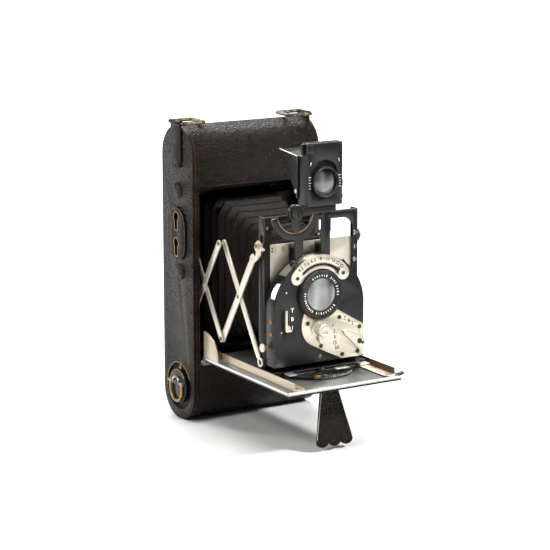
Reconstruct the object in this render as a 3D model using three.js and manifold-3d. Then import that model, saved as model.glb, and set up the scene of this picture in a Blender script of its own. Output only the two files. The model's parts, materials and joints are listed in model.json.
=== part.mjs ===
// A folding roll-film pocket camera, opened for use. Units are millimetres and +Z is up.
// +X is to the right of someone facing the lens, the lens looks along -Y,
// and the origin is the middle of the camera back's flat outer face.
import * as THREE from 'three';
import { mergeVertices } from 'three/addons/utils/BufferGeometryUtils.js';
import Module from 'manifold-3d';

const wasm = await Module();
wasm.setup();

// ---------------------------------------------------------------- driving dimensions
const CASE_WIDTH = 74;
const CASE_DEPTH = 31;
const CASE_HEIGHT = 150;
const SIDE_THICKNESS = 2;
const WALL = 1.5;
const OPENING = { halfWidth: 33.5, bottom: -44.5, top: 45.5 };
const BACK_PANEL = { halfWidth: 32.8, halfHeight: 55.8, thickness: 1.4 };
const SPOOL_HEIGHT = 58;
const FILM_GATE = { halfWidth: 21, halfHeight: 32, front: -10.5, back: -9 };
const BED = { halfWidth: 32.6, front: -113.6, rear: -32.2, top: -39.7, bottom: -41.3 };
const RAIL = { inner: 22.4, outer: 28.9, front: -114, rear: -38, wallTop: -35.7 };
const STANDARD = { halfWidth: 26.5, front: -82.2, bottom: -36.2, top: 38, flangeRear: -76.8 };
const WINDOW = { left: -23.4, right: 23.6, bottom: -31, top: 34.2, cornerRadius: 6 };
const HOUSING = { left: -26.2, right: 24.4, bottom: -33.6, front: -91.2, rear: -83.4, wall: 1.2 };
const LENS = { x: -1, z: 0, radius: 12, boreRadius: 7.9, front: -93.3 };
const FINDER = { left: -7.6, right: 12, bottom: 42.6, top: 72.6, front: -90.4, rear: -81.8 };
const FINDER_STEP = { y: -85.1, z: 66.3 };
const FINDER_PIVOT = { x: -13.5, z: 40.5 };
const TONG = { halfLength: 28.6, frontArm: 33.8, width: 3.5, frontRisingWidth: 4, thickness: 0.8 };
const TONG_PLANES = { frontFalling: 27.1, frontRising: 28.1, rearFalling: 29.1, rearRising: 30.1 };
const TONG_STUD = { y: -79.5, z: 24.4 };
const TONG_CROSSING = { y: -61.2, z: -4 };
const FOOT = { x: 0.5, y: -97, z: -43.7, length: 27.3, lean: 0.2 };

const END_RADIUS = CASE_DEPTH / 2;
const CASE_AXIS_Y = -END_RADIUS;
const CASE_HALF_WIDTH = CASE_WIDTH / 2;
const SHELL_HALF_WIDTH = CASE_HALF_WIDTH - SIDE_THICKNESS;
const END_CENTRE_Z = CASE_HEIGHT / 2 - END_RADIUS;
const ARCH = {
  x: (HOUSING.left + HOUSING.right) / 2,
  z: -6.6,
  radius: (HOUSING.right - HOUSING.left) / 2,
};

// ---------------------------------------------------------------- materials
const finish = (color, roughness, metalness) =>
  new THREE.MeshStandardMaterial({ color, roughness, metalness });
const leather = () => finish(0x17130f, 0.62, 0);
const enamel = () => finish(0x17181a, 0.38, 0.2);
const nickel = () => finish(0xd9d2c4, 0.32, 1);
const brass = () => finish(0xb08a4a, 0.35, 1);
const steel = () => finish(0x9da1a3, 0.3, 1);
const glass = () => finish(0xaab4b6, 0.05, 0);
const rubyGlass = () => finish(0x8c1414, 0.1, 0);
const bellowsLeather = () => finish(0x1c1514, 0.7, 0);

// ---------------------------------------------------------------- solids and booleans
function toManifold(geometry) {
  const bare = geometry.clone();
  for (const attribute of ['normal', 'uv']) bare.deleteAttribute(attribute);
  const merged = mergeVertices(bare);
  return new wasm.Manifold(new wasm.Mesh({
    numProp: 3,
    vertProperties: new Float32Array(merged.attributes.position.array),
    triVerts: new Uint32Array(merged.index.array),
  }));
}

function toGeometry(manifold) {
  const mesh = manifold.getMesh();
  const geometry = new THREE.BufferGeometry();
  geometry.setAttribute('position', new THREE.BufferAttribute(new Float32Array(mesh.vertProperties), 3));
  geometry.setIndex(new THREE.BufferAttribute(new Uint32Array(mesh.triVerts), 1));
  geometry.computeVertexNormals();
  return geometry;
}

function unite(first, ...others) {
  return toGeometry(others.reduce((sum, next) => sum.add(toManifold(next)), toManifold(first)));
}

function subtract(first, ...others) {
  return toGeometry(others.reduce((rest, next) => rest.subtract(toManifold(next)), toManifold(first)));
}

function intersect(first, second) {
  return toGeometry(toManifold(first).intersect(toManifold(second)));
}

function box(x0, x1, y0, y1, z0, z1) {
  return new THREE.BoxGeometry(x1 - x0, y1 - y0, z1 - z0)
    .translate((x0 + x1) / 2, (y0 + y1) / 2, (z0 + z1) / 2);
}

// A cylinder along X between x0 and x1.
function rodX(radius, x0, x1, y, z, sides = 24) {
  return new THREE.CylinderGeometry(radius, radius, x1 - x0, sides)
    .rotateZ(Math.PI / 2)
    .translate((x0 + x1) / 2, y, z);
}

// A cylinder along Y between y0 and y1.
function rodY(radius, y0, y1, x, z, sides = 24) {
  return new THREE.CylinderGeometry(radius, radius, y1 - y0, sides).translate(x, (y0 + y1) / 2, z);
}

// A cylinder along Z between z0 and z1.
function rodZ(radius, z0, z1, x, y, sides = 24) {
  return new THREE.CylinderGeometry(radius, radius, z1 - z0, sides)
    .rotateX(Math.PI / 2)
    .translate(x, y, (z0 + z1) / 2);
}

const extrusion = (shape, depth, curveSegments) =>
  new THREE.ExtrudeGeometry(shape, { depth, bevelEnabled: false, curveSegments });

// A shape drawn in (x, z), given thickness from y0 to y1.
function plateFacingY(shape, y0, y1, curveSegments = 12) {
  return extrusion(shape, y1 - y0, curveSegments).rotateX(Math.PI / 2).translate(0, y1, 0);
}

// A shape drawn in (y, z), given thickness from x0 to x1.
function plateFacingX(shape, x0, x1, curveSegments = 12) {
  const axes = new THREE.Matrix4().makeBasis(
    new THREE.Vector3(0, 1, 0),
    new THREE.Vector3(0, 0, 1),
    new THREE.Vector3(1, 0, 0),
  );
  return extrusion(shape, x1 - x0, curveSegments).applyMatrix4(axes).translate(x0, 0, 0);
}

// A shape drawn in (x, y), given thickness from z0 to z1.
function plateFacingZ(shape, z0, z1, curveSegments = 12) {
  return extrusion(shape, z1 - z0, curveSegments).translate(0, 0, z0);
}

function polygon(...points) {
  return new THREE.Shape(points.map(([a, b]) => new THREE.Vector2(a, b)));
}

// An upright slot shape with round ends: centre (a, b), half width r, ends centred at b0 and b1.
function slotShape(a, b0, b1, r) {
  const shape = new THREE.Shape();
  shape.moveTo(a - r, b1);
  shape.lineTo(a - r, b0);
  shape.absarc(a, b0, r, Math.PI, 2 * Math.PI, false);
  shape.lineTo(a + r, b1);
  shape.absarc(a, b1, r, 0, Math.PI, false);
  return shape;
}

// A ring sector about (a, b) between two angles, in degrees counter-clockwise.
function sectorShape(a, b, inner, outer, from, to) {
  const start = THREE.MathUtils.degToRad(from);
  const end = THREE.MathUtils.degToRad(to);
  const shape = new THREE.Shape();
  shape.absarc(a, b, outer, start, end, false);
  shape.absarc(a, b, inner, end, start, true);
  return shape;
}

// A ring turned about the Y axis; the profile is a closed loop of (radius, y) points.
function turnedY(profile, sides, x, z) {
  const loop = [...profile, profile[0]].map(([r, y]) => new THREE.Vector2(r, y));
  return new THREE.LatheGeometry(loop, sides).translate(x, 0, z);
}

const camera = new THREE.Group();

function part(name, geometry, material, group = camera) {
  const mesh = new THREE.Mesh(geometry, material);
  mesh.name = name;
  group.add(mesh);
  return mesh;
}

const SIDES = [['left', -1], ['right', 1]];

// Puts an outline given for |x| between near and far on the wanted side.
const sideSpan = (sign, near, far) => (sign > 0 ? [near, far] : [-far, -near]);

// ---------------------------------------------------------------- the case
const caseOutline = (radius) => slotShape(CASE_AXIS_Y, -END_CENTRE_Z, END_CENTRE_Z, radius);

function buildShell() {
  const outside = plateFacingX(caseOutline(END_RADIUS), -SHELL_HALF_WIDTH, SHELL_HALF_WIDTH, 16);
  const inside = plateFacingX(caseOutline(END_RADIUS - WALL), -CASE_WIDTH, CASE_WIDTH, 16);
  const front = box(-OPENING.halfWidth, OPENING.halfWidth, -CASE_DEPTH - 1, -CASE_DEPTH + 3,
    OPENING.bottom, OPENING.top);
  const clearance = 0.2;
  const backWidth = BACK_PANEL.halfWidth + clearance;
  const backHeight = BACK_PANEL.halfHeight + clearance;
  const back = box(-backWidth, backWidth, -3, 1, -backHeight, backHeight);
  part('body_shell', subtract(outside, inside, front, back), leather());
}

const KEY_RECESS = { radius: 12.2, depth: 1.2 };
const KEYHOLE = { headRadius: 2.2, slotHalf: 1.3, drop: 5.6 };
const KEYHOLE_HEIGHTS = [29.4, 16.2];

function keyhole(z, grow) {
  const head = slotShape(CASE_AXIS_Y, z, z + 0.2, KEYHOLE.headRadius + grow);
  const tail = slotShape(CASE_AXIS_Y, z - KEYHOLE.drop, z, KEYHOLE.slotHalf + grow);
  const reach = CASE_HALF_WIDTH + 3;
  return unite(
    plateFacingX(head, -reach, -SHELL_HALF_WIDTH + 1, 6),
    plateFacingX(tail, -reach, -SHELL_HALF_WIDTH + 1, 4),
  );
}

function spoolStud(sign, z) {
  const [x0, x1] = sideSpan(sign, 24.5, SHELL_HALF_WIDTH + 0.5);
  return rodX(1.5, x0, x1, CASE_AXIS_Y, z, 12);
}

function buildSidePlates() {
  const reach = CASE_HALF_WIDTH + 1;
  const left = plateFacingX(caseOutline(END_RADIUS), -CASE_HALF_WIDTH, -SHELL_HALF_WIDTH, 16);
  const recess = rodX(KEY_RECESS.radius, -reach, -CASE_HALF_WIDTH + KEY_RECESS.depth,
    CASE_AXIS_Y, -SPOOL_HEIGHT, 28);
  const shaftHole = rodX(2.4, -reach, -SHELL_HALF_WIDTH + 1, CASE_AXIS_Y, -SPOOL_HEIGHT, 16);
  const holes = KEYHOLE_HEIGHTS.map((z) => keyhole(z, 0.4));
  part('side_plate_left',
    unite(subtract(left, recess, shaftHole, ...holes), spoolStud(-1, SPOOL_HEIGHT)), leather());

  const right = plateFacingX(caseOutline(END_RADIUS), SHELL_HALF_WIDTH, CASE_HALF_WIDTH, 16);
  part('side_plate_right',
    unite(right, spoolStud(1, SPOOL_HEIGHT), spoolStud(1, -SPOOL_HEIGHT)), leather());

  const face = slotShape(CASE_AXIS_Y, 15.8, 25.2, 8.8);
  const thickness = 0.9;
  part('accessory_plate', subtract(
    plateFacingX(face, -CASE_HALF_WIDTH - thickness, -CASE_HALF_WIDTH, 12),
    ...KEYHOLE_HEIGHTS.map((z) => keyhole(z, 0)),
  ), enamel());
}

// The tongs' rear pins run in upright slots in this frame's side walls.
const CHASSIS = { wallInner: 33.2, wallOuter: 35, front: -29.2, bottom: -46.4, top: 47.4, web: 1.2 };
const TONG_REAR_Y = TONG_CROSSING.y + 3 * (TONG_STUD.y - TONG_CROSSING.y) * -TONG.halfLength / TONG.frontArm;

function buildChassis() {
  const plateHalfHeight = 36;
  const gate = subtract(
    box(-CHASSIS.wallOuter, CHASSIS.wallOuter, FILM_GATE.front, FILM_GATE.back,
      -plateHalfHeight, plateHalfHeight),
    box(-FILM_GATE.halfWidth, FILM_GATE.halfWidth, FILM_GATE.front - 1, FILM_GATE.back + 1,
      -FILM_GATE.halfHeight, FILM_GATE.halfHeight),
  );
  const webs = [[CHASSIS.bottom, CHASSIS.bottom + CHASSIS.web], [CHASSIS.top - CHASSIS.web, CHASSIS.top]]
    .map(([z0, z1]) => box(-CHASSIS.wallOuter, CHASSIS.wallOuter, CHASSIS.front, FILM_GATE.back, z0, z1));
  const walls = SIDES.map(([, sign]) => {
    const [x0, x1] = sideSpan(sign, CHASSIS.wallInner, CHASSIS.wallOuter);
    const slot = plateFacingX(slotShape(TONG_REAR_Y, -32.8, 25.2, 1.5), x0 - 1, x1 + 1, 6);
    return subtract(box(x0, x1, CHASSIS.front, FILM_GATE.back, CHASSIS.bottom, CHASSIS.top), slot);
  });
  part('inner_chassis', unite(gate, ...webs, ...walls), enamel());

  const rollerHeight = 41;
  for (const [name, z] of [['film_roller_upper', rollerHeight], ['film_roller_lower', -rollerHeight]]) {
    part(name, rodX(2.6, -32.6, 32.6, -11.8, z, 16), nickel());
  }
}

function buildStraps() {
  const barrel = { x: CASE_HALF_WIDTH + 0.3, z: CASE_HEIGHT / 2 + 1.6, radius: 1.3, bore: 0.78 };
  const half = 5;
  const thickness = 0.8;
  const wire = 0.6;
  const reach = 12.5;
  const loopHalf = 6.6;
  for (const [side, sign] of SIDES) {
    const [x0, x1] = sideSpan(sign, CASE_HALF_WIDTH, CASE_HALF_WIDTH + thickness);
    const strip = slotShape(CASE_AXIS_Y, 58.5, barrel.z, half);
    const square = box(x0 - 1, x1 + 1, CASE_AXIS_Y - 9, CASE_AXIS_Y + 9, barrel.z + 0.6, barrel.z + 9);
    const roll = rodY(barrel.radius, CASE_AXIS_Y - half, CASE_AXIS_Y + half, sign * barrel.x, barrel.z, 12);
    const bore = rodY(barrel.bore, CASE_AXIS_Y - 9, CASE_AXIS_Y + 9, sign * barrel.x, barrel.z, 12);
    part(`strap_lug_${side}`,
      subtract(unite(subtract(plateFacingX(strip, x0, x1, 10), square), roll), bore), enamel());

    const ends = [CASE_AXIS_Y - loopHalf, CASE_AXIS_Y + loopHalf];
    const inner = sign * (barrel.x - reach);
    const [lo, hi] = [Math.min(inner, sign * barrel.x), Math.max(inner, sign * barrel.x)];
    const rods = [
      rodY(wire, ...ends, inner, barrel.z, 8),
      ...ends.map((y) => rodX(wire, lo, hi, y, barrel.z, 8)),
      ...ends.flatMap((y) => [lo, hi].map((x) =>
        new THREE.SphereGeometry(wire, 8, 6).translate(x, y, barrel.z))),
    ];
    part(`strap_loop_${side}`, unite(rodY(wire, ...ends, sign * barrel.x, barrel.z, 8), ...rods), brass());
  }
}

function buildWinder() {
  const axis = [CASE_AXIS_Y, -SPOOL_HEIGHT];
  const spoolHalf = 26;
  const discFace = -CASE_HALF_WIDTH - 0.9;
  const outerFace = discFace - 1.5;
  const disc = rodX(8.6, discFace, -CASE_HALF_WIDTH + KEY_RECESS.depth - 0.4, ...axis, 32);
  const shaft = rodX(1.8, -CASE_HALF_WIDTH, -spoolHalf, ...axis, 16);
  const pivotZ = -SPOOL_HEIGHT + 2.2;
  const yoke = box(outerFace, discFace + 0.2, CASE_AXIS_Y - 4.7, CASE_AXIS_Y + 4.7,
    pivotZ - 1, pivotZ + 1);
  part('winding_key', unite(disc, shaft, yoke), enamel());

  const ring = { x0: outerFace, x1: discFace - 0.3, outer: 6.4, inner: 5, above: 0.6, straight: 3.9 };
  const bow = new THREE.Shape();
  bow.moveTo(CASE_AXIS_Y - ring.outer, pivotZ + ring.above);
  bow.lineTo(CASE_AXIS_Y - ring.outer, pivotZ - ring.straight);
  bow.absarc(CASE_AXIS_Y, pivotZ - ring.straight, ring.outer, Math.PI, 2 * Math.PI, false);
  bow.lineTo(CASE_AXIS_Y + ring.outer, pivotZ + ring.above);
  bow.lineTo(CASE_AXIS_Y + ring.inner, pivotZ + ring.above);
  bow.lineTo(CASE_AXIS_Y + ring.inner, pivotZ - ring.straight);
  bow.absarc(CASE_AXIS_Y, pivotZ - ring.straight, ring.inner, 2 * Math.PI, Math.PI, true);
  bow.lineTo(CASE_AXIS_Y - ring.inner, pivotZ + ring.above);
  part('winding_key_ring', plateFacingX(bow, ring.x0, ring.x1, 10), brass());

  const core = rodX(4.5, -spoolHalf, spoolHalf, ...axis);
  const flanges = [-1, 1].map((s) => {
    const [x0, x1] = sideSpan(s, spoolHalf - 1.2, spoolHalf);
    return rodX(10, x0, x1, ...axis, 28);
  });
  const bore = rodX(2, spoolHalf - 3, spoolHalf + 1, ...axis, 16);
  part('takeup_spool', subtract(unite(core, ...flanges), bore), enamel());
}

const RED_WINDOW = { z: 32, radius: 3.4 };
const LATCH = { z: 50, halfWidth: 6, halfHeight: 2, depth: 0.8 };

function buildBack() {
  const { halfWidth, halfHeight, thickness } = BACK_PANEL;
  const panel = box(-halfWidth, halfWidth, -thickness, 0, -halfHeight, halfHeight);
  const windowHole = rodY(RED_WINDOW.radius, -thickness - 1, 1, 0, RED_WINDOW.z, 28);
  const recess = box(-LATCH.halfWidth, LATCH.halfWidth, -LATCH.depth, 1,
    LATCH.z - LATCH.halfHeight, LATCH.z + LATCH.halfHeight);
  part('back_cover', subtract(panel, windowHole, recess), leather());
  part('red_window', rodY(RED_WINDOW.radius - 0.1, -1.1, -0.4, 0, RED_WINDOW.z, 28), rubyGlass());
  part('back_latch', box(-LATCH.halfWidth + 0.3, -0.5, -LATCH.depth + 0.1, 0,
    LATCH.z - LATCH.halfHeight + 0.3, LATCH.z + LATCH.halfHeight - 0.3), nickel());

  const plate = box(-26, 26, -8.6, -8, -35, 35);
  const springs = [-20, 20].map((z) => rodY(1.6, -8.2, -thickness, 0, z, 16));
  part('pressure_plate', unite(plate, ...springs), enamel());
}

// ---------------------------------------------------------------- the bellows
function buildBellows() {
  const rear = { y: -14.8, halfWidth: 21.5, bottom: -37, top: 41 };
  const front = { y: -79.8, halfWidth: 15, bottom: -17, top: 18.8 };
  const wall = 1;
  const chamfer = 0.2;
  const outline = (size) => {
    const near = size * (1 - chamfer);
    return [[-near, -size], [near, -size], [size, -near], [size, near],
      [near, size], [-near, size], [-size, near], [-size, -near]];
  };
  const ring = polygon(...outline(1));
  ring.holes.push(new THREE.Path(outline(1 - wall / front.halfWidth)
    .map(([a, b]) => new THREE.Vector2(a, b))));
  const sleeve = plateFacingY(ring, front.y, rear.y);
  const position = sleeve.attributes.position;
  for (let i = 0; i < position.count; i += 1) {
    const t = (position.getY(i) - front.y) / (rear.y - front.y);
    const halfWidth = THREE.MathUtils.lerp(front.halfWidth, rear.halfWidth, t);
    const bottom = THREE.MathUtils.lerp(front.bottom, rear.bottom, t);
    const top = THREE.MathUtils.lerp(front.top, rear.top, t);
    position.setX(i, position.getX(i) * halfWidth);
    position.setZ(i, (top + bottom) / 2 + position.getZ(i) * (top - bottom) / 2);
  }
  sleeve.computeVertexNormals();
  part('bellows', sleeve, bellowsLeather());
}

// ---------------------------------------------------------------- the bed that drops to the front
function buildBed() {
  const { halfWidth, front, rear, top, bottom } = BED;
  const hinge = { y: -30.9, z: -43.1, radius: 0.9 };
  const lip = box(-halfWidth, halfWidth, rear - 1.2, rear, hinge.z - 1, bottom + 0.2);
  part('bed_plate', unite(box(-halfWidth, halfWidth, front, rear, bottom, top), lip), steel());
  part('bed_hinge_pin', rodX(hinge.radius, -32.8, 32.8, hinge.y, hinge.z, 16), steel());

  const panel = box(-halfWidth + 0.6, halfWidth - 0.6, front + 0.6, rear - 1.6, bottom - 1, bottom);
  const ears = [FOOT.x - 5.9, FOOT.x + 5.9].map((x) => box(x - 0.6, x + 0.6, FOOT.y - 1.6, FOOT.y + 1.6,
    FOOT.z - 1.6, bottom - 0.5));
  const pinHole = rodX(0.95, -9, 9, FOOT.y, FOOT.z, 12);
  part('bed_cover_panel', subtract(unite(panel, ...ears), pinHole), leather());

  for (const [side, sign] of SIDES) {
    const flange = new THREE.Shape();
    const corner = 2.4;
    const [inner, outer] = [RAIL.inner, RAIL.outer];
    flange.moveTo(sign * outer, RAIL.rear);
    flange.lineTo(sign * inner, RAIL.rear);
    flange.lineTo(sign * inner, RAIL.front + corner);
    flange.lineTo(sign * (inner + corner / 2), RAIL.front + 0.4);
    flange.lineTo(sign * (outer - corner / 2), RAIL.front + 0.4);
    flange.lineTo(sign * outer, RAIL.front + 1.6);
    const base = plateFacingZ(flange, top, top + 0.8);
    const hole = rodZ(0.9, top - 1, top + 2, sign * (inner + outer) / 2, RAIL.front + 3.2, 12);
    const [wallNear, wallFar] = sideSpan(sign, outer - 0.7, outer);
    const wall = box(wallNear, wallFar, RAIL.front + 1.6, RAIL.rear, top, RAIL.wallTop);

    const cheek = new THREE.Shape();
    cheek.moveTo(-33.4, top);
    cheek.lineTo(-33.4, -26.4);
    cheek.absellipse(-33.4, top + 1, 14, 12.3, Math.PI / 2, Math.PI, false);
    cheek.lineTo(-47.4, top);
    const [cheekNear, cheekFar] = sideSpan(sign, 31.8, 32.6);
    const [footNear, footFar] = sideSpan(sign, outer - 0.2, 32.6);
    const strap = box(footNear, footFar, -47, -38.4, top, top + 0.8);
    part(`bed_rail_${side}`, unite(
      subtract(base, hole), wall, plateFacingX(cheek, cheekNear, cheekFar, 10), strap,
    ), nickel());
  }
}

// A fan-shaped strut with a three-lobed toe, hung from a pin under the bed.
function buildFoot() {
  const { length } = FOOT;
  const headHalf = 4.4;
  const lobe = { radius: 3.4, rise: 2.6 };
  const fan = new THREE.Shape();
  fan.moveTo(-headHalf, 1.2);
  fan.lineTo(-3 * lobe.radius, -length);
  for (const centre of [-2, 0, 2]) {
    fan.absellipse(centre * lobe.radius, -length, lobe.radius, lobe.rise, Math.PI, 2 * Math.PI, false);
  }
  fan.lineTo(headHalf, 1.2);
  const pin = rodX(0.8, -6.8, 6.8, 0, 0, 12);
  const foot = part('foot', unite(plateFacingY(fan, -0.6, 0.6, 8), pin), leather());
  foot.position.set(FOOT.x, FOOT.y, FOOT.z);
  foot.rotation.x = -FOOT.lean;
}

// ---------------------------------------------------------------- carriage and lens standard
const CARRIAGE = { halfWidth: 21.5, bottom: -39.4, front: -92, rear: -77.5 };
const RUNNER = { halfWidth: 26.9, bottom: -38.7 };

function buildCarriage() {
  const { halfWidth, bottom, front, rear } = CARRIAGE;
  const block = box(-halfWidth, halfWidth, front, rear, bottom, STANDARD.bottom);
  const runners = box(-RUNNER.halfWidth, RUNNER.halfWidth, front + 2, rear,
    RUNNER.bottom, STANDARD.bottom);
  const apron = { y: -79, radius: 23, thickness: 1.6 };
  const disc = rodZ(apron.radius, bottom, bottom + apron.thickness, 0, apron.y, 32);
  const keep = box(-halfWidth, halfWidth, apron.y - 30, apron.y, bottom - 1, STANDARD.bottom);
  part('carriage', unite(block, runners, intersect(disc, keep)), enamel());

  const lever = { z0: -37.4, z1: -36.8, x: -2, y: -94.4 };
  const ring = { x: -7.8, y: -102.4, outer: 3, inner: 1.7 };
  const arm = polygon([lever.x - 1.4, lever.y - 0.4], [ring.x + 0.6, ring.y + 1.8],
    [ring.x + 2.6, ring.y + 0.4], [lever.x + 1.4, lever.y]);
  part('focus_lever', subtract(
    unite(
      rodZ(1.9, lever.z0, lever.z1, lever.x, lever.y, 16),
      plateFacingZ(arm, lever.z0, lever.z1),
      rodZ(ring.outer, lever.z0, lever.z1, ring.x, ring.y, 16),
    ),
    rodZ(ring.inner, lever.z0 - 1, lever.z1 + 1, ring.x, ring.y, 12),
  ), enamel());
}

function buildStandard() {
  const { halfWidth, front, bottom, top, flangeRear } = STANDARD;
  const thickness = 1;
  const sheet = polygon([-halfWidth, bottom], [halfWidth, bottom], [halfWidth, top], [-halfWidth, top]);
  const opening = new THREE.Path();
  const r = WINDOW.cornerRadius;
  opening.moveTo(WINDOW.left, WINDOW.bottom);
  opening.lineTo(WINDOW.right, WINDOW.bottom);
  opening.lineTo(WINDOW.right, WINDOW.top - r);
  opening.absarc(WINDOW.right - r, WINDOW.top - r, r, 0, Math.PI / 2, false);
  opening.lineTo(WINDOW.left + r, WINDOW.top);
  opening.absarc(WINDOW.left + r, WINDOW.top - r, r, Math.PI / 2, Math.PI, false);
  sheet.holes.push(opening);
  const solids = [plateFacingY(sheet, front, front + thickness, 8)];
  for (const [, sign] of SIDES) {
    const [x0, x1] = sideSpan(sign, halfWidth - 0.8, halfWidth);
    const flange = box(x0, x1, front, flangeRear, bottom, top);
    const track = plateFacingX(slotShape(TONG_STUD.y, TONG_STUD.z - 0.2, TONG_STUD.z + 4, 1.1),
      x0 - 1, x1 + 1, 6);
    solids.push(subtract(flange, track));
  }
  part('standard_frame', unite(...solids), enamel());

  const panel = polygon([-25.4, -30], [25.4, -30], [25.4, 24.3], [-25.4, 24.3]);
  const travel = 5;
  const passage = new THREE.Path();
  passage.absarc(LENS.x, LENS.z, 10, Math.PI / 2, 1.5 * Math.PI, false);
  passage.absarc(LENS.x + travel, LENS.z, 10, -Math.PI / 2, Math.PI / 2, false);
  panel.holes.push(passage);
  part('rise_panel', plateFacingY(panel, -81, -80.2, 12), nickel());
}

// ---------------------------------------------------------------- shutter and lens
function housingOutline(inset) {
  const left = HOUSING.left + inset;
  const right = HOUSING.right - inset;
  const shape = new THREE.Shape();
  shape.moveTo(left, HOUSING.bottom + inset);
  shape.lineTo(right, HOUSING.bottom + inset);
  shape.lineTo(right, ARCH.z);
  shape.absarc(ARCH.x, ARCH.z, ARCH.radius - inset, 0, Math.PI, false);
  return shape;
}

const BRACKET_STEMS = [[1.3, 6.2], [-13.5, -9]];
const MODE_SLOT = { x: -19.5, bottom: -15.2, top: -6.4, half: 0.9 };
const APERTURE = { inner: 12.5, outer: 19.3, slotInner: 13.9, slotOuter: 15.3, from: 45, to: 133 };

function buildHousing() {
  const { front, rear, wall } = HOUSING;
  const outside = plateFacingY(housingOutline(0), front, rear, 20);
  const inside = plateFacingY(housingOutline(wall), front + wall, rear + 1, 16);
  const lensHole = rodY(9, front - 1, front + 3, LENS.x, LENS.z, 24);
  const modeSlot = plateFacingY(slotShape(MODE_SLOT.x, MODE_SLOT.bottom, MODE_SLOT.top, MODE_SLOT.half),
    front - 1, front + 3, 6);
  part('shutter_housing', subtract(outside, inside, lensHole, modeSlot), enamel());

  const back = housingOutline(0);
  const cellHole = new THREE.Path();
  cellHole.absarc(LENS.x, LENS.z, 9.4, 0, 2 * Math.PI, false);
  back.holes.push(cellHole);
  const tabs = BRACKET_STEMS.map(([x0, x1]) => box(x0, x1, rear, rear + 0.8, 15, 24.2));
  part('shutter_back_plate', unite(plateFacingY(back, rear, rear + 0.8, 12), ...tabs), steel());

  const pivot = { x: 6, z: -22 };
  const blade = { y0: -88.4, y1: -88, radius: 7.9 };
  const neck = polygon([pivot.x - 1.6, pivot.z - 0.6], [LENS.x - 5, LENS.z - 5],
    [LENS.x + 5, LENS.z - 3], [pivot.x + 1.6, pivot.z + 0.6]);
  part('shutter_sector', unite(
    rodY(blade.radius, blade.y0, blade.y1, LENS.x, LENS.z, 20),
    plateFacingY(neck, blade.y0, blade.y1),
    rodY(2, blade.y0, blade.y1, pivot.x, pivot.z, 16),
  ), steel());

  const stud = { y: -85, z: -24.3 };
  part('catch_stud', unite(
    rodX(2.1, HOUSING.left - 3.7, HOUSING.left - 2.7, stud.y, stud.z, 20),
    rodX(0.9, HOUSING.left - 3, HOUSING.left, stud.y, stud.z, 12),
  ), nickel());
}

function buildAperture() {
  const { inner, outer, slotInner, slotOuter, from, to } = APERTURE;
  const y0 = HOUSING.front - 0.65;
  const y1 = HOUSING.front;
  const start = 35.5;
  const end = 145;
  const middle = (inner + outer) / 2;
  const tip = (outer - inner) / 2;
  const at = (angle, radius) => [
    LENS.x + radius * Math.cos(THREE.MathUtils.degToRad(angle)),
    LENS.z + radius * Math.sin(THREE.MathUtils.degToRad(angle)),
  ];
  const band = unite(
    plateFacingY(sectorShape(LENS.x, LENS.z, inner, outer, start, end), y0, y1, 18),
    ...[start, end].map((angle) => rodY(tip, y0, y1, ...at(angle, middle), 14)),
  );
  const slot = plateFacingY(sectorShape(LENS.x, LENS.z, slotInner, slotOuter, from, to), y0 - 1, y1 + 1, 14);
  part('aperture_scale', subtract(band, slot), nickel());

  const restAngle = 48;
  const along = (slotInner + slotOuter) / 2;
  const tab = box(13.1, 16.3, y0 - 0.9, y0 - 0.25, -0.7, 0.7);
  const stem = rodY(0.45, y0 - 0.5, y1 - 0.1, along, 0, 12);
  const pointer = part('aperture_pointer', unite(tab, stem), brass());
  pointer.position.set(LENS.x, 0, LENS.z);
  pointer.rotation.y = -THREE.MathUtils.degToRad(restAngle);
}

const SPEED_KNOB = { x: -2, z: -16.8, radius: 3.1 };
const SPEED_LEVER = { x: 21, z: -25.6, tipX: 11, tipZ: -18.7 };

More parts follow.
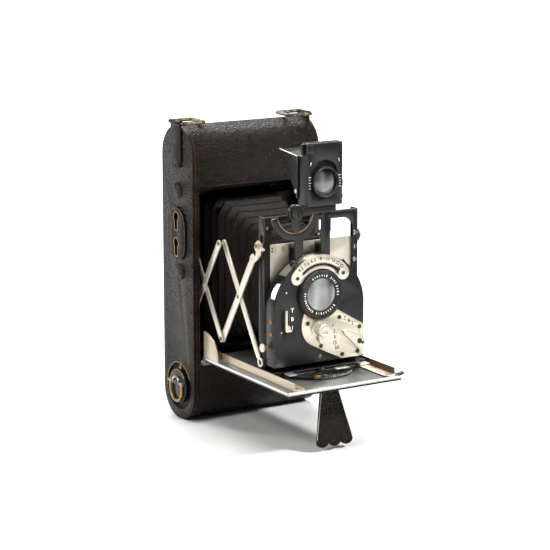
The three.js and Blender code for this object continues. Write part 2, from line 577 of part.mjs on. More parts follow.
function buildSpeedPlate() {
  const y0 = HOUSING.front - 0.65;
  const y1 = HOUSING.front;
  const outline = new THREE.Shape();
  outline.moveTo(-9.8, -8.4);
  outline.quadraticCurveTo(-11.9, -12.5, -11.4, -16.5);
  outline.quadraticCurveTo(-10.6, -22.4, -5.4, -24.9);
  outline.lineTo(11.4, -33.3);
  outline.lineTo(22.4, -33.3);
  outline.quadraticCurveTo(24, -33.2, 24, -31.6);
  outline.lineTo(24, -17.6);
  outline.lineTo(8.6, -8.6);
  const lensClearance = rodY(LENS.radius + 0.4, y0 - 1, y1 + 1, LENS.x, LENS.z, 32);
  const screws = [[-8.2, -13.6], [9.9, -12.6], [21.6, -18.6], [-0.6, -25.6], [11.6, -31.2], [20.6, -30.8]];
  part('speed_plate', subtract(
    plateFacingY(outline, y0, y1, 8),
    lensClearance,
    ...screws.map(([x, z]) => rodY(0.9, y0 - 1, y1 + 1, x, z, 8)),
  ), nickel());

  const { x, z, radius } = SPEED_KNOB;
  const finger = new THREE.Shape();
  finger.moveTo(x - 0.9, z - radius + 0.6);
  finger.quadraticCurveTo(x - 1.4, z - 6.6, x + 1.2, z - 7.6);
  finger.lineTo(x + 2.4, z - 6.6);
  finger.quadraticCurveTo(x + 0.6, z - 5.6, x + 1, z - radius + 0.6);
  part('release_knob', unite(
    rodY(radius, y0 - 4.8, y0 - 0.25, x, z, 20),
    plateFacingY(finger, y0 - 2.2, y0 - 1.2, 6),
  ), nickel());

  const lever = SPEED_LEVER;
  const length = Math.hypot(lever.tipX - lever.x, lever.tipZ - lever.z);
  const tear = new THREE.Shape();
  tear.moveTo(-length, 0);
  tear.lineTo(-length + 3, 1.6);
  tear.lineTo(0, 3);
  tear.absarc(0, 0, 3, Math.PI / 2, -Math.PI / 2, true);
  tear.lineTo(-length + 3, -1.6);
  const speedLever = part('speed_lever', plateFacingY(tear, y0 - 1.2, y0 - 0.3, 12), nickel());
  speedLever.position.set(lever.x, 0, lever.z);
  speedLever.rotation.y = Math.atan2(lever.tipZ - lever.z, lever.x - lever.tipX);

  const { front } = HOUSING;
  const knobZ = MODE_SLOT.bottom + 0.6;
  part('mode_lever', unite(
    rodY(1.4, front - 1.3, front - 0.3, MODE_SLOT.x, knobZ, 16),
    rodY(0.5, front - 0.6, front + 2, MODE_SLOT.x, knobZ, 12),
  ), nickel());
}

function buildLens() {
  const { x, z, radius, boreRadius, front } = LENS;
  const rear = HOUSING.front - 0.05;
  part('lens_barrel', turnedY([
    [boreRadius, rear], [boreRadius, front + 1], [radius - 1.4, front + 0.3], [radius - 1.2, front],
    [radius - 0.2, front], [radius, front + 0.3], [radius, rear],
  ], 36, x, z), enamel());

  const glassRadius = boreRadius - 0.1;
  const edge = front + 1;
  const dome = 0.8;
  const profile = [new THREE.Vector2(0, edge + 0.9), new THREE.Vector2(glassRadius, edge + 0.9)];
  const rings = 3;
  for (let i = 0; i <= rings; i += 1) {
    const r = glassRadius * (1 - i / rings);
    profile.push(new THREE.Vector2(r, edge - dome * (1 - (r / glassRadius) ** 2)));
  }
  part('front_element', new THREE.LatheGeometry(profile.reverse(), 28).translate(x, 0, z), glass());

  part('rear_lens_cell', turnedY([[7.2, -85.4], [9, -85.4], [9, -80.1], [7.2, -80.1]], 24, x, z), enamel());
}

// ---------------------------------------------------------------- the reflecting finder
function buildFinderBracket() {
  const y0 = -88.9;
  const y1 = -87.9;
  const { x, z } = FINDER_PIVOT;
  const arc = { inner: 9.7, outer: 13.2, from: 190, to: 362 };
  const bar = { left: x - 4, right: 6.6, bottom: z - 2.2, top: 42 };
  const [[stemLeft, stemRight], [postLeft, postRight]] = BRACKET_STEMS;
  const pieces = [
    plateFacingY(sectorShape(x, z, arc.inner, arc.outer, arc.from, arc.to), y0, y1, 20),
    box(bar.left, bar.right, y0, y1, bar.bottom, bar.top),
    rodY(4, y0, y1, x, z, 16),
    box(-2, bar.right, y0, y1, 29.4, bar.top),
    box(stemLeft, stemRight, y0, y1, 15, 31),
    box(postLeft, postRight, y0, y1, 15, z - arc.inner - 1),
  ];
  const cuts = [
    plateFacingY(slotShape(0.4, 31.3, 36.2, 0.95), y0 - 1, y1 + 1, 6),
    rodY(ARCH.radius + 0.3, y0 - 1, y1 + 1, ARCH.x, ARCH.z, 40),
  ];
  const feet = BRACKET_STEMS.map(([x0, x1]) => box(x0, x1, y0, HOUSING.rear, 23, 24.2));
  const head = rodY(3.1, -91.3, -90.1, x, z, 20);
  const slotAngle = THREE.MathUtils.degToRad(12);
  const slot = box(-0.3, 0.3, -92, -90.9, -4, 4).rotateY(-slotAngle).translate(x, 0, z);
  const screw = unite(subtract(head, slot), rodY(1, -90.2, y1, x, z, 12));
  part('finder_bracket', unite(subtract(unite(...pieces), ...cuts), ...feet, screw), enamel());
}

function buildFinder() {
  const { left, right, bottom, top, front, rear } = FINDER;
  const { x, z } = FINDER_PIVOT;
  const armFront = -90;
  const armRear = -89.1;
  const tail = polygon([x - 2.6, z - 2], [x - 1.5, z - 9.8], [x + 1.5, z - 9.8], [x + 2.6, z - 2]);
  part('finder_arm', subtract(
    unite(
      rodY(4.1, armFront, armRear, x, z, 20),
      plateFacingY(tail, armFront, armRear),
      box(x, 8.8, armFront, armRear, z - 1.4, bottom),
    ),
    rodY(1.4, armFront - 1, armRear + 1, x, z, 12),
  ), enamel());

  const wall = 0.8;
  const lens = { x: 2, z: 54.1, radius: 7.4, travel: 3.2 };
  const { y: stepY, z: stepZ } = FINDER_STEP;
  const shell = subtract(
    unite(box(left, right, front, rear, bottom, stepZ), box(left, right, front, stepY, bottom, top)),
    box(left + wall, right - wall, front + 1, rear + 1, bottom + wall, stepZ - wall),
    box(left + wall, right - wall, front + 1, stepY - wall, bottom + wall, top - wall),
    plateFacingY(slotShape(lens.x, lens.z, lens.z + lens.travel, lens.radius), front - 1, front + 2, 12),
    box(left + 2.4, right - 2.4, front + 1.9, stepY - 1.3, top - 2, top + 1),
  );
  part('finder_body', shell, enamel());
  part('finder_top_glass', box(left + 2.5, right - 2.5, front + 2, stepY - 1.4, top - wall, top - 0.1),
    glass());

  const carrier = box(left + wall + 0.4, right - wall - 0.4, front + 1.1, front + 1.7, 44.8, 65);
  const rim = rodY(lens.radius - 0.3, front - 0.9, front + 1.4, lens.x, lens.z, 24);
  const bore = rodY(lens.radius - 1, front - 2, front + 3, lens.x, lens.z, 24);
  part('finder_lens_mount', subtract(unite(carrier, rim), bore), enamel());
  const glassRadius = lens.radius - 1.1;
  part('finder_lens', new THREE.LatheGeometry([
    new THREE.Vector2(0, front - 1), new THREE.Vector2(glassRadius * 0.6, front - 0.7),
    new THREE.Vector2(glassRadius, front + 0.2), new THREE.Vector2(glassRadius, front + 1.2),
    new THREE.Vector2(0, front + 1.2),
  ], 24).translate(lens.x, 0, lens.z), glass());

  const wing = polygon([-82.6, 46], [-81, 46], [-80.9, 48.6], [-79.1, 50.6], [-73.8, 56.8],
    [-66, 67], [-65.8, 67.7], [-82.6, 66.1]);
  const mirror = polygon([-79.1, 50.6], [-73.8, 56.8], [-66, 67], [-66.6, 67.5], [-74.3, 57.3], [-79.6, 51]);
  const gap = 0.2;
  const sheet = 0.6;
  part('finder_hood', unite(
    plateFacingX(wing, left - gap - sheet, left - gap),
    plateFacingX(wing, right + gap, right + gap + sheet),
    plateFacingX(mirror, left - gap - sheet, right + gap + sheet),
  ), enamel());
}

// ---------------------------------------------------------------- the lazy tongs
// Two crossed pairs each side, each link in its own plane.
function linkShape(from, to, holes, width = TONG.width) {
  const angle = Math.atan2(to.z - from.z, to.y - from.y);
  const r = width / 2;
  const shape = new THREE.Shape();
  shape.absarc(to.y, to.z, r, angle - Math.PI / 2, angle + Math.PI / 2, false);
  shape.absarc(from.y, from.z, r, angle + Math.PI / 2, angle + 1.5 * Math.PI, false);
  for (const { at, radius } of holes) {
    const hole = new THREE.Path();
    hole.absarc(at.y, at.z, radius, 0, 2 * Math.PI, false);
    shape.holes.push(hole);
  }
  return shape;
}

// The left link's upper end: an eye on the stud, a spur to the front and a hook tooth behind.
const TONG_HEAD = [
  [-0.2, 2.7], [-2.5, 1.6], [-3.1, 0], [-5.9, -0.9], [-5, -1.8], [-2.4, -1.9], [-2, -3.2], [-1.8, -4.6],
  [0.2, -6.9], [3.4, -8.9], [5.4, -12.2], [9.2, -14.4], [6.8, -6], [5.2, -4.7], [3.8, -5.5], [2.4, -5.8],
  [1.6, -4.3], [1.5, -3], [3.1, -1.3], [1.8, 1.2],
];

function buildTongs() {
  const rise = (TONG_STUD.z - TONG_CROSSING.z) / TONG.frontArm;
  const run = (TONG_CROSSING.y - TONG_STUD.y) / TONG.frontArm;
  const node = (steps, up) => ({
    y: TONG_CROSSING.y + steps * run * TONG.halfLength,
    z: TONG_CROSSING.z + up * rise * TONG.halfLength,
  });
  const stud = TONG_STUD;
  const hookTip = { y: TONG_CROSSING.y - run * TONG.frontArm, z: TONG_CROSSING.z - rise * TONG.frontArm };
  const neck = { y: stud.y + 13 * run, z: stud.z - 13 * rise };
  const [upper, lower] = [node(1, 1), node(1, -1)];
  const [rearUpper, rearLower] = [node(3, 1), node(3, -1)];
  const pinRadius = 0.8;
  const holeRadius = 1.2;
  const wallPinEnd = 34.2;

  for (const [side, sign] of SIDES) {
    const plane = (near) => sideSpan(sign, near, near + TONG.thickness);
    const link = (near, from, to, holes, width) =>
      plateFacingX(linkShape(from, to, holes, width), ...plane(near), 4);
    const pin = (near, far, at) => rodX(pinRadius, ...sideSpan(sign, near, far), at.y, at.z, 8);
    const head = (near, at) => rodX(1.2, ...sideSpan(sign, near, near + 0.3), at.y, at.z, 10);
    const { frontFalling, frontRising, rearFalling, rearRising } = TONG_PLANES;
    const face = TONG.thickness;

    const upperEnd = sign < 0 ? neck : stud;
    const rising = [link(frontRising, lower, upperEnd, [], TONG.frontRisingWidth)];
    if (sign < 0) {
      const outline = TONG_HEAD.map(([y, z]) => [stud.y + y, stud.z + z]);
      rising.push(plateFacingX(polygon(...outline), ...plane(frontRising)));
    }
    const [x0, x1] = plane(frontRising);
    const eye = rodX(holeRadius, x0 - 1, x1 + 1, stud.y, stud.z, 12);
    part(`tong_front_rising_${side}`, unite(
      subtract(unite(...rising), eye),
      head(frontRising + face - 0.1, TONG_CROSSING),
      pin(frontRising, rearFalling + face + 0.2, lower),
    ), nickel());

    const tail = { y: hookTip.y + 1.6, z: hookTip.z + 2.6 };
    const [h0, h1] = plane(frontFalling);
    const hook = subtract(
      rodX(2.4, h0, h1, hookTip.y - 0.4, hookTip.z - 0.4, 14),
      rodX(1.3, h0 - 1, h1 + 1, hookTip.y - 0.4, hookTip.z - 0.4, 12),
    );
    part(`tong_front_falling_${side}`, unite(
      link(frontFalling, upper, tail, [{ at: upper, radius: holeRadius }]),
      hook,
    ), nickel());

    part(`tong_rear_rising_${side}`, unite(
      link(rearRising, rearLower, upper, []),
      pin(frontFalling - 0.3, rearRising + face + 0.2, upper),
      head(rearRising + face - 0.1, node(2, 0)),
      pin(rearRising, wallPinEnd, rearLower),
    ), nickel());

    part(`tong_rear_falling_${side}`, unite(
      link(rearFalling, lower, rearUpper, [{ at: lower, radius: holeRadius }]),
      pin(rearFalling, wallPinEnd, rearUpper),
    ), nickel());

    const studParts = [
      pin(STANDARD.halfWidth - 0.6, frontRising + face + 0.6, stud),
      rodX(1.6, ...sideSpan(sign, frontRising + face + 0.3, frontRising + face + 0.8), stud.y, stud.z, 12),
    ];
    if (sign > 0) {
      const collar = rodX(3.1, STANDARD.halfWidth + 0.1, frontRising - 0.1, stud.y, stud.z, 20);
      studParts.push(collar);
    }
    part(`tong_stud_${side}`, unite(...studParts), nickel());
  }
}

buildShell();
buildSidePlates();
buildChassis();
buildStraps();
buildWinder();
buildBack();
buildBellows();
buildBed();
buildFoot();
buildCarriage();
buildStandard();
buildHousing();
buildAperture();
buildSpeedPlate();
buildLens();
buildFinderBracket();
buildFinder();
buildTongs();

export default camera;
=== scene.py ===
import json
import math
import random

import bmesh
import bpy
from mathutils import Matrix, Vector


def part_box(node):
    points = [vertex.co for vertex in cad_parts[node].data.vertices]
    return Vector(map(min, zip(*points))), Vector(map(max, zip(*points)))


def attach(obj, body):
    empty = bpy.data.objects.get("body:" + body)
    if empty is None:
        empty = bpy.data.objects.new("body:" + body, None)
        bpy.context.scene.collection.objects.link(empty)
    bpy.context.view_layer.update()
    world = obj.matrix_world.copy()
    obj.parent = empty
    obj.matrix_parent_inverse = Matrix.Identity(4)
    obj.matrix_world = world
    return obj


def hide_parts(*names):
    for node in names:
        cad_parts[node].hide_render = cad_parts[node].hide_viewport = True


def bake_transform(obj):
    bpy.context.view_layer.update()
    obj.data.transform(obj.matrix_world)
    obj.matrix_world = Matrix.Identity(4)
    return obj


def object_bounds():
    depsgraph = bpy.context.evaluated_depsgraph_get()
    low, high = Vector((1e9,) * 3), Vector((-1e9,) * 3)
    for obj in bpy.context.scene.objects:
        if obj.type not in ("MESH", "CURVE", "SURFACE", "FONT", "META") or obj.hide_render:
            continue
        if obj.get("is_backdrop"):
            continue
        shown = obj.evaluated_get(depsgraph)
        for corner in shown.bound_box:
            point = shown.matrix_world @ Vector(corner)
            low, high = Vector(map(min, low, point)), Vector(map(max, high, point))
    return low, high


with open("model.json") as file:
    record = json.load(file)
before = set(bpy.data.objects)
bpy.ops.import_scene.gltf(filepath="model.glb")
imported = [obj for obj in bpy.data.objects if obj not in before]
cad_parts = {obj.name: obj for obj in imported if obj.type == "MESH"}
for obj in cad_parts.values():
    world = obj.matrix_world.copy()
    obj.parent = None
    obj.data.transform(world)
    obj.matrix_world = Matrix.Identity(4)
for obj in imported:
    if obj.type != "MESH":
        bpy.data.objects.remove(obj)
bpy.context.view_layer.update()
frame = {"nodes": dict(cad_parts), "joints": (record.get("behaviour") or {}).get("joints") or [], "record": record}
MM = 0.001
random.seed(7)


# ---------------------------------------------------------------- materials
class Nodes:
    """A small builder for node materials; coordinates are the row frame's, in metres."""

    def __init__(self, name):
        self.m = bpy.data.materials.new(name)
        self.m.use_nodes = True
        self.t = self.m.node_tree
        self.bsdf = self.t.nodes["Principled BSDF"]
        self.coord = self.t.nodes.new("ShaderNodeTexCoord").outputs["Object"]

    def node(self, kind, inputs=None, **settings):
        n = self.t.nodes.new(kind)
        for k, v in settings.items():
            setattr(n, k, v)
        for k, v in (inputs or {}).items():
            self.put(n.inputs[k], v)
        return n

    def put(self, socket, value):
        if isinstance(value, bpy.types.NodeSocket):
            self.t.links.new(value, socket)
        else:
            socket.default_value = value

    def noise(self, scale, detail=3, rough=0.55, distortion=0.0, coord=None):
        n = self.node("ShaderNodeTexNoise", {"Vector": coord or self.coord, "Scale": scale,
                      "Detail": detail, "Roughness": rough, "Distortion": distortion})
        return n.outputs["Fac"]

    def cells(self, scale, randomness=1.0, feature="F1", coord=None):
        n = self.node("ShaderNodeTexVoronoi", {"Vector": coord or self.coord, "Scale": scale,
                      "Randomness": randomness}, feature=feature)
        return n.outputs["Distance"]

    def ramp(self, fac, low, high):
        n = self.node("ShaderNodeMapRange", {"Value": fac, "From Min": low, "From Max": high})
        return n.outputs["Result"]

    def math(self, op, a, b=0.0):
        n = self.node("ShaderNodeMath", operation=op)
        self.put(n.inputs[0], a)
        self.put(n.inputs[1], b)
        return n.outputs[0]

    def mix(self, fac, a, b):
        n = self.node("ShaderNodeMix", data_type="RGBA")
        self.put(n.inputs[0], fac)
        self.put(n.inputs[6], a if isinstance(a, bpy.types.NodeSocket) else (*a, 1))
        self.put(n.inputs[7], b if isinstance(b, bpy.types.NodeSocket) else (*b, 1))
        return n.outputs[2]

    def bump(self, height, distance, strength=1.0, normal=None):
        inputs = {"Height": height, "Distance": distance, "Strength": strength}
        if normal is not None:
            inputs["Normal"] = normal
        return self.node("ShaderNodeBump", inputs).outputs["Normal"]

    def edges(self, radius, low=0.02, high=0.25):
        """Close to 1 on sharp edges and 0 on flat ground."""
        soft = self.node("ShaderNodeBevel", {"Radius": radius}, samples=4).outputs["Normal"]
        hard = self.node("ShaderNodeNewGeometry").outputs["Normal"]
        dot = self.node("ShaderNodeVectorMath", operation="DOT_PRODUCT")
        self.put(dot.inputs[0], soft)
        self.put(dot.inputs[1], hard)
        return self.ramp(self.math("SUBTRACT", 1.0, dot.outputs["Value"]), low, high)

    def done(self, colour, rough, metal=0.0, normal=None, **more):
        self.put(self.bsdf.inputs["Base Color"], colour if isinstance(colour, bpy.types.NodeSocket) else (*colour, 1))
        self.put(self.bsdf.inputs["Roughness"], rough)
        self.put(self.bsdf.inputs["Metallic"], metal)
        if normal is not None:
            self.put(self.bsdf.inputs["Normal"], normal)
        for k, v in more.items():
            self.put(self.bsdf.inputs[k.replace("_", " ")], v)
        return self.m


def leather(name, base, worn, grain=1150, depth=0.00016, gloss=0.42, shine=0.4):
    n = Nodes(name)
    shift = n.node("ShaderNodeVectorMath", operation="SCALE")
    n.put(shift.inputs[0], n.node("ShaderNodeTexNoise", {"Vector": n.coord, "Scale": 420.0}).outputs["Color"])
    shift.inputs["Scale"].default_value = 0.0005
    coord = n.node("ShaderNodeVectorMath", operation="ADD")
    n.put(coord.inputs[0], n.coord)
    n.put(coord.inputs[1], shift.outputs[0])
    cells = n.cells(grain, feature="SMOOTH_F1", coord=coord.outputs[0])
    height = n.math("ADD", n.math("MULTIPLY", cells, -0.9), n.math("MULTIPLY", n.noise(3600, 2), 0.25))
    wear = n.math("MULTIPLY", n.edges(0.0011, 0.03, 0.30), n.ramp(n.noise(110, 4), 0.36, 0.62))
    patches = n.ramp(n.noise(38, 4), 0.42, 0.75)
    colour = n.mix(patches, base, tuple(c * 1.6 for c in base))
    colour = n.mix(wear, colour, worn)
    rough = n.math("ADD", n.math("MULTIPLY", n.noise(260, 2), 0.16), gloss - 0.08)
    return n.done(colour, rough, 0.0, n.bump(height, depth), Specular_IOR_Level=shine,
                  Specular_Tint=(0.82, 0.70, 0.62, 1))


def enamel(name, base=(0.0055, 0.0053, 0.0050), worn=(0.30, 0.17, 0.09), wear=0.8, rough=0.3, rubbed=0.0):
    n = Nodes(name)
    edge = n.math("MULTIPLY", n.edges(0.00035, 0.04, 0.3), n.ramp(n.noise(210, 4), 0.44, 0.62))
    edge = n.math("MULTIPLY", edge, wear)
    if rubbed:
        edge = n.math("MAXIMUM", edge, n.math("MULTIPLY", n.ramp(n.noise(330, 4, 0.6), 0.50, 0.60), rubbed))
    dust = n.ramp(n.noise(90, 5), 0.45, 0.8)
    colour = n.mix(dust, base, tuple(c * 1.7 + 0.002 for c in base))
    colour = n.mix(edge, colour, worn)
    roughness = n.math("ADD", n.math("MULTIPLY", n.noise(330, 3), 0.14), rough - 0.05)
    return n.done(colour, roughness, n.math("MULTIPLY", edge, 0.7),
                  n.bump(n.noise(1500, 2), 0.00002), Specular_IOR_Level=0.33)


def nickel(name, base=(0.74, 0.68, 0.57), stain=(0.36, 0.23, 0.13), amount=0.5, rough=0.36, metal=0.75):
    n = Nodes(name)
    spots = n.math("MULTIPLY", n.ramp(n.noise(420, 5, 0.7), 0.60, 0.75), amount)
    tone = n.ramp(n.noise(55, 3), 0.3, 0.75)
    colour = n.mix(tone, base, tuple(c * 0.86 for c in base))
    colour = n.mix(spots, colour, stain)
    edge = n.math("MULTIPLY", n.edges(0.0003, 0.05, 0.35), 0.35)
    colour = n.mix(edge, colour, (0.40, 0.29, 0.18))
    roughness = n.math("ADD", n.math("MULTIPLY", n.noise(700, 3), 0.18), rough - 0.08)
    return n.done(colour, roughness, metal, n.bump(n.noise(2600, 2), 0.000012))


def brushed(name, base, rough=0.3, along=(1, 0.03, 1), metal=0.9):
    n = Nodes(name)
    stretch = n.node("ShaderNodeVectorMath", operation="MULTIPLY")
    n.put(stretch.inputs[0], n.coord)
    stretch.inputs[1].default_value = along
    streaks = n.noise(2200, 3, coord=stretch.outputs[0])
    tone = n.ramp(n.noise(45, 4), 0.3, 0.8)
    colour = n.mix(tone, base, tuple(c * 0.82 for c in base))
    colour = n.mix(n.math("MULTIPLY", n.ramp(n.noise(300, 5, 0.7), 0.62, 0.74), 0.5), colour, (0.25, 0.22, 0.19))
    return n.done(colour, n.math("ADD", n.math("MULTIPLY", streaks, 0.2), rough - 0.1), metal,
                  n.bump(streaks, 0.000015))


def rail_metal(name):
    """Cream on top and outside, copper-brown on the walls facing the middle."""
    n = Nodes(name)
    where = n.node("ShaderNodeSeparateXYZ", {"Vector": n.coord}).outputs["X"]
    normal = n.node("ShaderNodeSeparateXYZ", {"Vector": n.node("ShaderNodeNewGeometry").outputs["True Normal"]})
    across = n.math("MULTIPLY", n.math("SIGN", where), normal.outputs["X"])
    colour = n.mix(n.ramp(n.noise(160, 4), 0.35, 0.7), (0.60, 0.50, 0.40), (0.36, 0.24, 0.17))
    colour = n.mix(n.ramp(n.math("MULTIPLY", across, -1.0), 0.4, 0.8), colour, (0.16, 0.09, 0.055))
    colour = n.mix(n.ramp(across, 0.4, 0.8), colour, (0.50, 0.42, 0.32))
    return n.done(colour, n.math("ADD", n.math("MULTIPLY", n.noise(700, 3), 0.18), 0.32), 0.6,
                  n.bump(n.noise(2600, 2), 0.000015))


def glass(name, tone=(0.36, 0.37, 0.36), dark=(0.04, 0.042, 0.042)):
    """Dark glass with a painted reflection, soft upright streaks as if a room were seen in it, and painted shade that
    darkens it towards its edges as seen from the camera.
    """
    n = Nodes(name)
    stretch = n.node("ShaderNodeVectorMath", operation="MULTIPLY")
    n.put(stretch.inputs[0], n.coord)
    stretch.inputs[1].default_value = (1, 1, 0.22)
    # Painted reflection: soft upright streaks of lighter tone.
    streak = n.ramp(n.noise(120, 1.5, coord=stretch.outputs[0]), 0.38, 0.68)
    facing = n.node("ShaderNodeLayerWeight", {"Blend": 0.3}).outputs["Facing"]
    colour = n.mix(streak, dark, tone)
    # Painted shade: the colour turns dark towards the edges as the surface turns away from the camera.
    colour = n.mix(n.ramp(facing, 0.35, 0.9), colour, dark)
    return n.done(colour, 0.05, 0.0, None, Specular_IOR_Level=0.5, Coat_Weight=0.6, Coat_Roughness=0.02)


LEATHER = leather("case_leather", (0.0028, 0.0020, 0.0016), (0.075, 0.026, 0.016), 1250, 0.0008, 0.25, 0.18)
SMOOTH = leather("smooth_leather", (0.003, 0.0022, 0.0018), (0.05, 0.022, 0.014), 1700, 0.00014, 0.4, 0.16)
BELLOWS = leather("bellows_leather", (0.0034, 0.0026, 0.0027), (0.018, 0.012, 0.011), 1900, 0.0003, 0.42, 0.2)
ENAMEL = enamel("black_enamel")
SHUTTER = enamel("shutter_enamel", rough=0.34)
NICKEL = nickel("aged_nickel", (0.68, 0.63, 0.52), (0.24, 0.15, 0.09), 0.75, 0.36, 0.72)
RAIL_METAL = rail_metal("rail_metal")
BED_METAL = brushed("bed_metal", (0.34, 0.355, 0.34), 0.34, (1, 0.03, 1), 0.85)
BRASS = nickel("worn_brass", (0.36, 0.23, 0.09), (0.05, 0.03, 0.018), 0.9, 0.38, 0.9)
ALLOY = brushed("bright_alloy", (0.80, 0.80, 0.79))
STEEL = brushed("plain_steel", (0.50, 0.50, 0.50))
CREAM = enamel("white_paint", (0.62, 0.60, 0.53), (0.3, 0.25, 0.18), 0.5, 0.55)
WHITE = enamel("engraved_white", (0.75, 0.75, 0.72), (0.5, 0.48, 0.44), 0.4, 0.6)
SILVER = enamel("engraved_silver", (0.45, 0.45, 0.42), (0.3, 0.28, 0.25), 0.4, 0.5)
INK = enamel("black_ink", (0.008, 0.008, 0.009), (0.05, 0.04, 0.03), 0.4, 0.5)
ENAMEL_WORN = enamel("rubbed_enamel", (0.0075, 0.0072, 0.007), (0.30, 0.19, 0.09), 1.4, 0.32)
LOOP_BLACK = enamel("rubbed_loop", (0.0075, 0.0072, 0.007), (0.36, 0.23, 0.10), 1.4, 0.32, 0.6)
COPPER = nickel("copper", (0.30, 0.155, 0.075), (0.06, 0.035, 0.025), 0.8, 0.4, 0.9)
# Near-white metal that paints the highlight along the bed plate's edges.
EDGE = brushed("bed_edge", (0.92, 0.92, 0.90), 0.35, (1, 0.03, 1), 0.45)
DARK_SCREW = nickel("dark_screw", (0.045, 0.03, 0.022), (0.16, 0.10, 0.05), 0.9, 0.42, 0.6)
RUST = nickel("rusted_rivet", (0.20, 0.11, 0.065), (0.05, 0.03, 0.02), 0.9, 0.6, 0.55)
# A beige metal used only for the painted reflection along the shutter housing's arch.
REFLECTION_STRIP = nickel("beige_reflection_strip", (0.60, 0.55, 0.44), (0.25, 0.18, 0.10), 0.7, 0.34, 0.85)
MIRROR = brushed("mirror", (0.55, 0.56, 0.56), 0.12)
GLASS = glass("lens_glass")
FINDER_GLASS = glass("finder_glass", (0.26, 0.27, 0.27), (0.008, 0.0085, 0.009))
RUBY = glass("ruby_glass", (0.30, 0.01, 0.01), (0.08, 0.0, 0.0))
BY_SLOT = {
    "case_leather": LEATHER, "side_leather": LEATHER, "back_leather": LEATHER, "bed_leather": LEATHER,
    "bellows_leather": BELLOWS, "black_enamel": ENAMEL, "shutter_enamel": SHUTTER, "aged_nickel": NICKEL,
    "bright_alloy": ALLOY, "steel": STEEL, "worn_brass": BRASS, "lens_glass": GLASS, "ruby_glass": RUBY,
}

BY_NODE = {
    "inner_chassis": ENAMEL, "film_roller_upper": ENAMEL, "film_roller_lower": ENAMEL, "shutter_back_plate": ENAMEL,
    "bed_rail_left": RAIL_METAL, "bed_rail_right": RAIL_METAL, "bed_plate": BED_METAL,
    "front_element": GLASS, "finder_lens": FINDER_GLASS, "accessory_plate": SMOOTH, "strap_lug_left": SMOOTH, "strap_lug_right": SMOOTH,
}

slot_of = {s["node"]: s["material_slot"] for s in frame["record"]["subparts"]}
for name, node in frame["nodes"].items():
    node.data.materials.clear()
    node.data.materials.append(BY_NODE.get(name, BY_SLOT[slot_of[name]]))
    weld = node.modifiers.new("weld", "WELD")
    weld.merge_threshold = 1e-6
    flat = node.modifiers.new("flat", "DECIMATE")
    flat.decimate_type = "DISSOLVE"
    flat.angle_limit = math.radians(0.6)
    edge = node.modifiers.new("edge", "BEVEL")
    edge.width = 0.00018
    edge.segments = 2
    edge.limit_method = "ANGLE"
    edge.angle_limit = math.radians(32)
    edge.harden_normals = True
    for polygon in node.data.polygons:
        polygon.use_smooth = True


# ---------------------------------------------------------------- studio
def area(name, place, target, size, power, colour=(1, 1, 1)):
    lamp = bpy.data.lights.new(name, "AREA")
    lamp.shape = "RECTANGLE"
    lamp.size, lamp.size_y = size
    lamp.energy = power
    lamp.color = colour
    o = bpy.data.objects.new(name, lamp)
    bpy.context.scene.collection.objects.link(o)
    o.location = place
    o.rotation_euler = (Vector(target) - Vector(place)).to_track_quat("-Z", "Y").to_euler()
    return o


def studio():
    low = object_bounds()[0].z
    n = Nodes("floor")
    away = n.node("ShaderNodeVectorMath", {"Vector": n.coord}, operation="LENGTH").outputs["Value"]
    n.done((0.84, 0.84, 0.83), n.math("ADD", n.math("MULTIPLY", n.noise(30, 2), 0.04), 0.22), 0.0,
           None, Specular_IOR_Level=0.35, Emission_Color=(1, 1, 1, 1),
           Emission_Strength=n.math("MULTIPLY", n.ramp(away, 0.22, 0.9),
                                    n.node("ShaderNodeLightPath").outputs["Is Camera Ray"]))
    mesh = bpy.data.meshes.new("floor")
    s = 6
    mesh.from_pydata([(-s, -s, low), (s, -s, low), (s, s, low), (-s, s, low)], [], [(0, 1, 2, 3)])
    mesh.materials.append(n.m)
    floor = bpy.data.objects.new("floor", mesh)
    bpy.context.scene.collection.objects.link(floor)
    floor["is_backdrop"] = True
    world = bpy.data.worlds.new("studio")
    world.use_nodes = True
    tree = world.node_tree
    seen = tree.nodes.new("ShaderNodeLightPath").outputs["Is Camera Ray"]
    level = tree.nodes.new("ShaderNodeMapRange")
    level.inputs["To Min"].default_value = 0.11
    level.inputs["To Max"].default_value = 1.0
    tree.links.new(seen, level.inputs["Value"])
    tree.nodes["Background"].inputs[0].default_value = (1, 1, 1, 1)
    tree.links.new(level.outputs["Result"], tree.nodes["Background"].inputs[1])
    bpy.context.scene.world = world
    area("key_left", (-1.0, -0.35, 0.75), (0, -0.05, 0), (0.22, 0.6), 9)
    area("sheen", (0.62, -0.66, 0.74), (0, -0.03, 0.05), (0.2, 0.12), 17)
    area("top", (-0.05, -0.25, 0.95), (0, -0.05, 0), (0.7, 0.16), 9)
    area("behind", (0.4, 0.9, 0.9), (0, 0.2, -0.05), (0.9, 0.6), 18)
    area("back_left", (-0.75, 1.05, 0.5), (0, 0, 0), (0.3, 0.5), 10)
    bpy.context.scene.view_settings.view_transform = "Standard"


def camera():
    data = bpy.data.cameras.new("camera")
    data.sensor_width = 36
    data.lens = 131.98
    o = bpy.data.objects.new("camera", data)
    bpy.context.scene.collection.objects.link(o)
    azimuth, elevation = math.radians(-31.40), math.radians(12.107)
    back = Vector((math.sin(azimuth) * math.cos(elevation), -math.cos(azimuth) * math.cos(elevation),
                   math.sin(elevation)))
    o.location = Vector((0.005043, -0.04, -0.000742)) + back * 1.0134
    o.rotation_euler = (-back).to_track_quat("-Z", "Y").to_euler()
    bpy.context.scene.camera = o

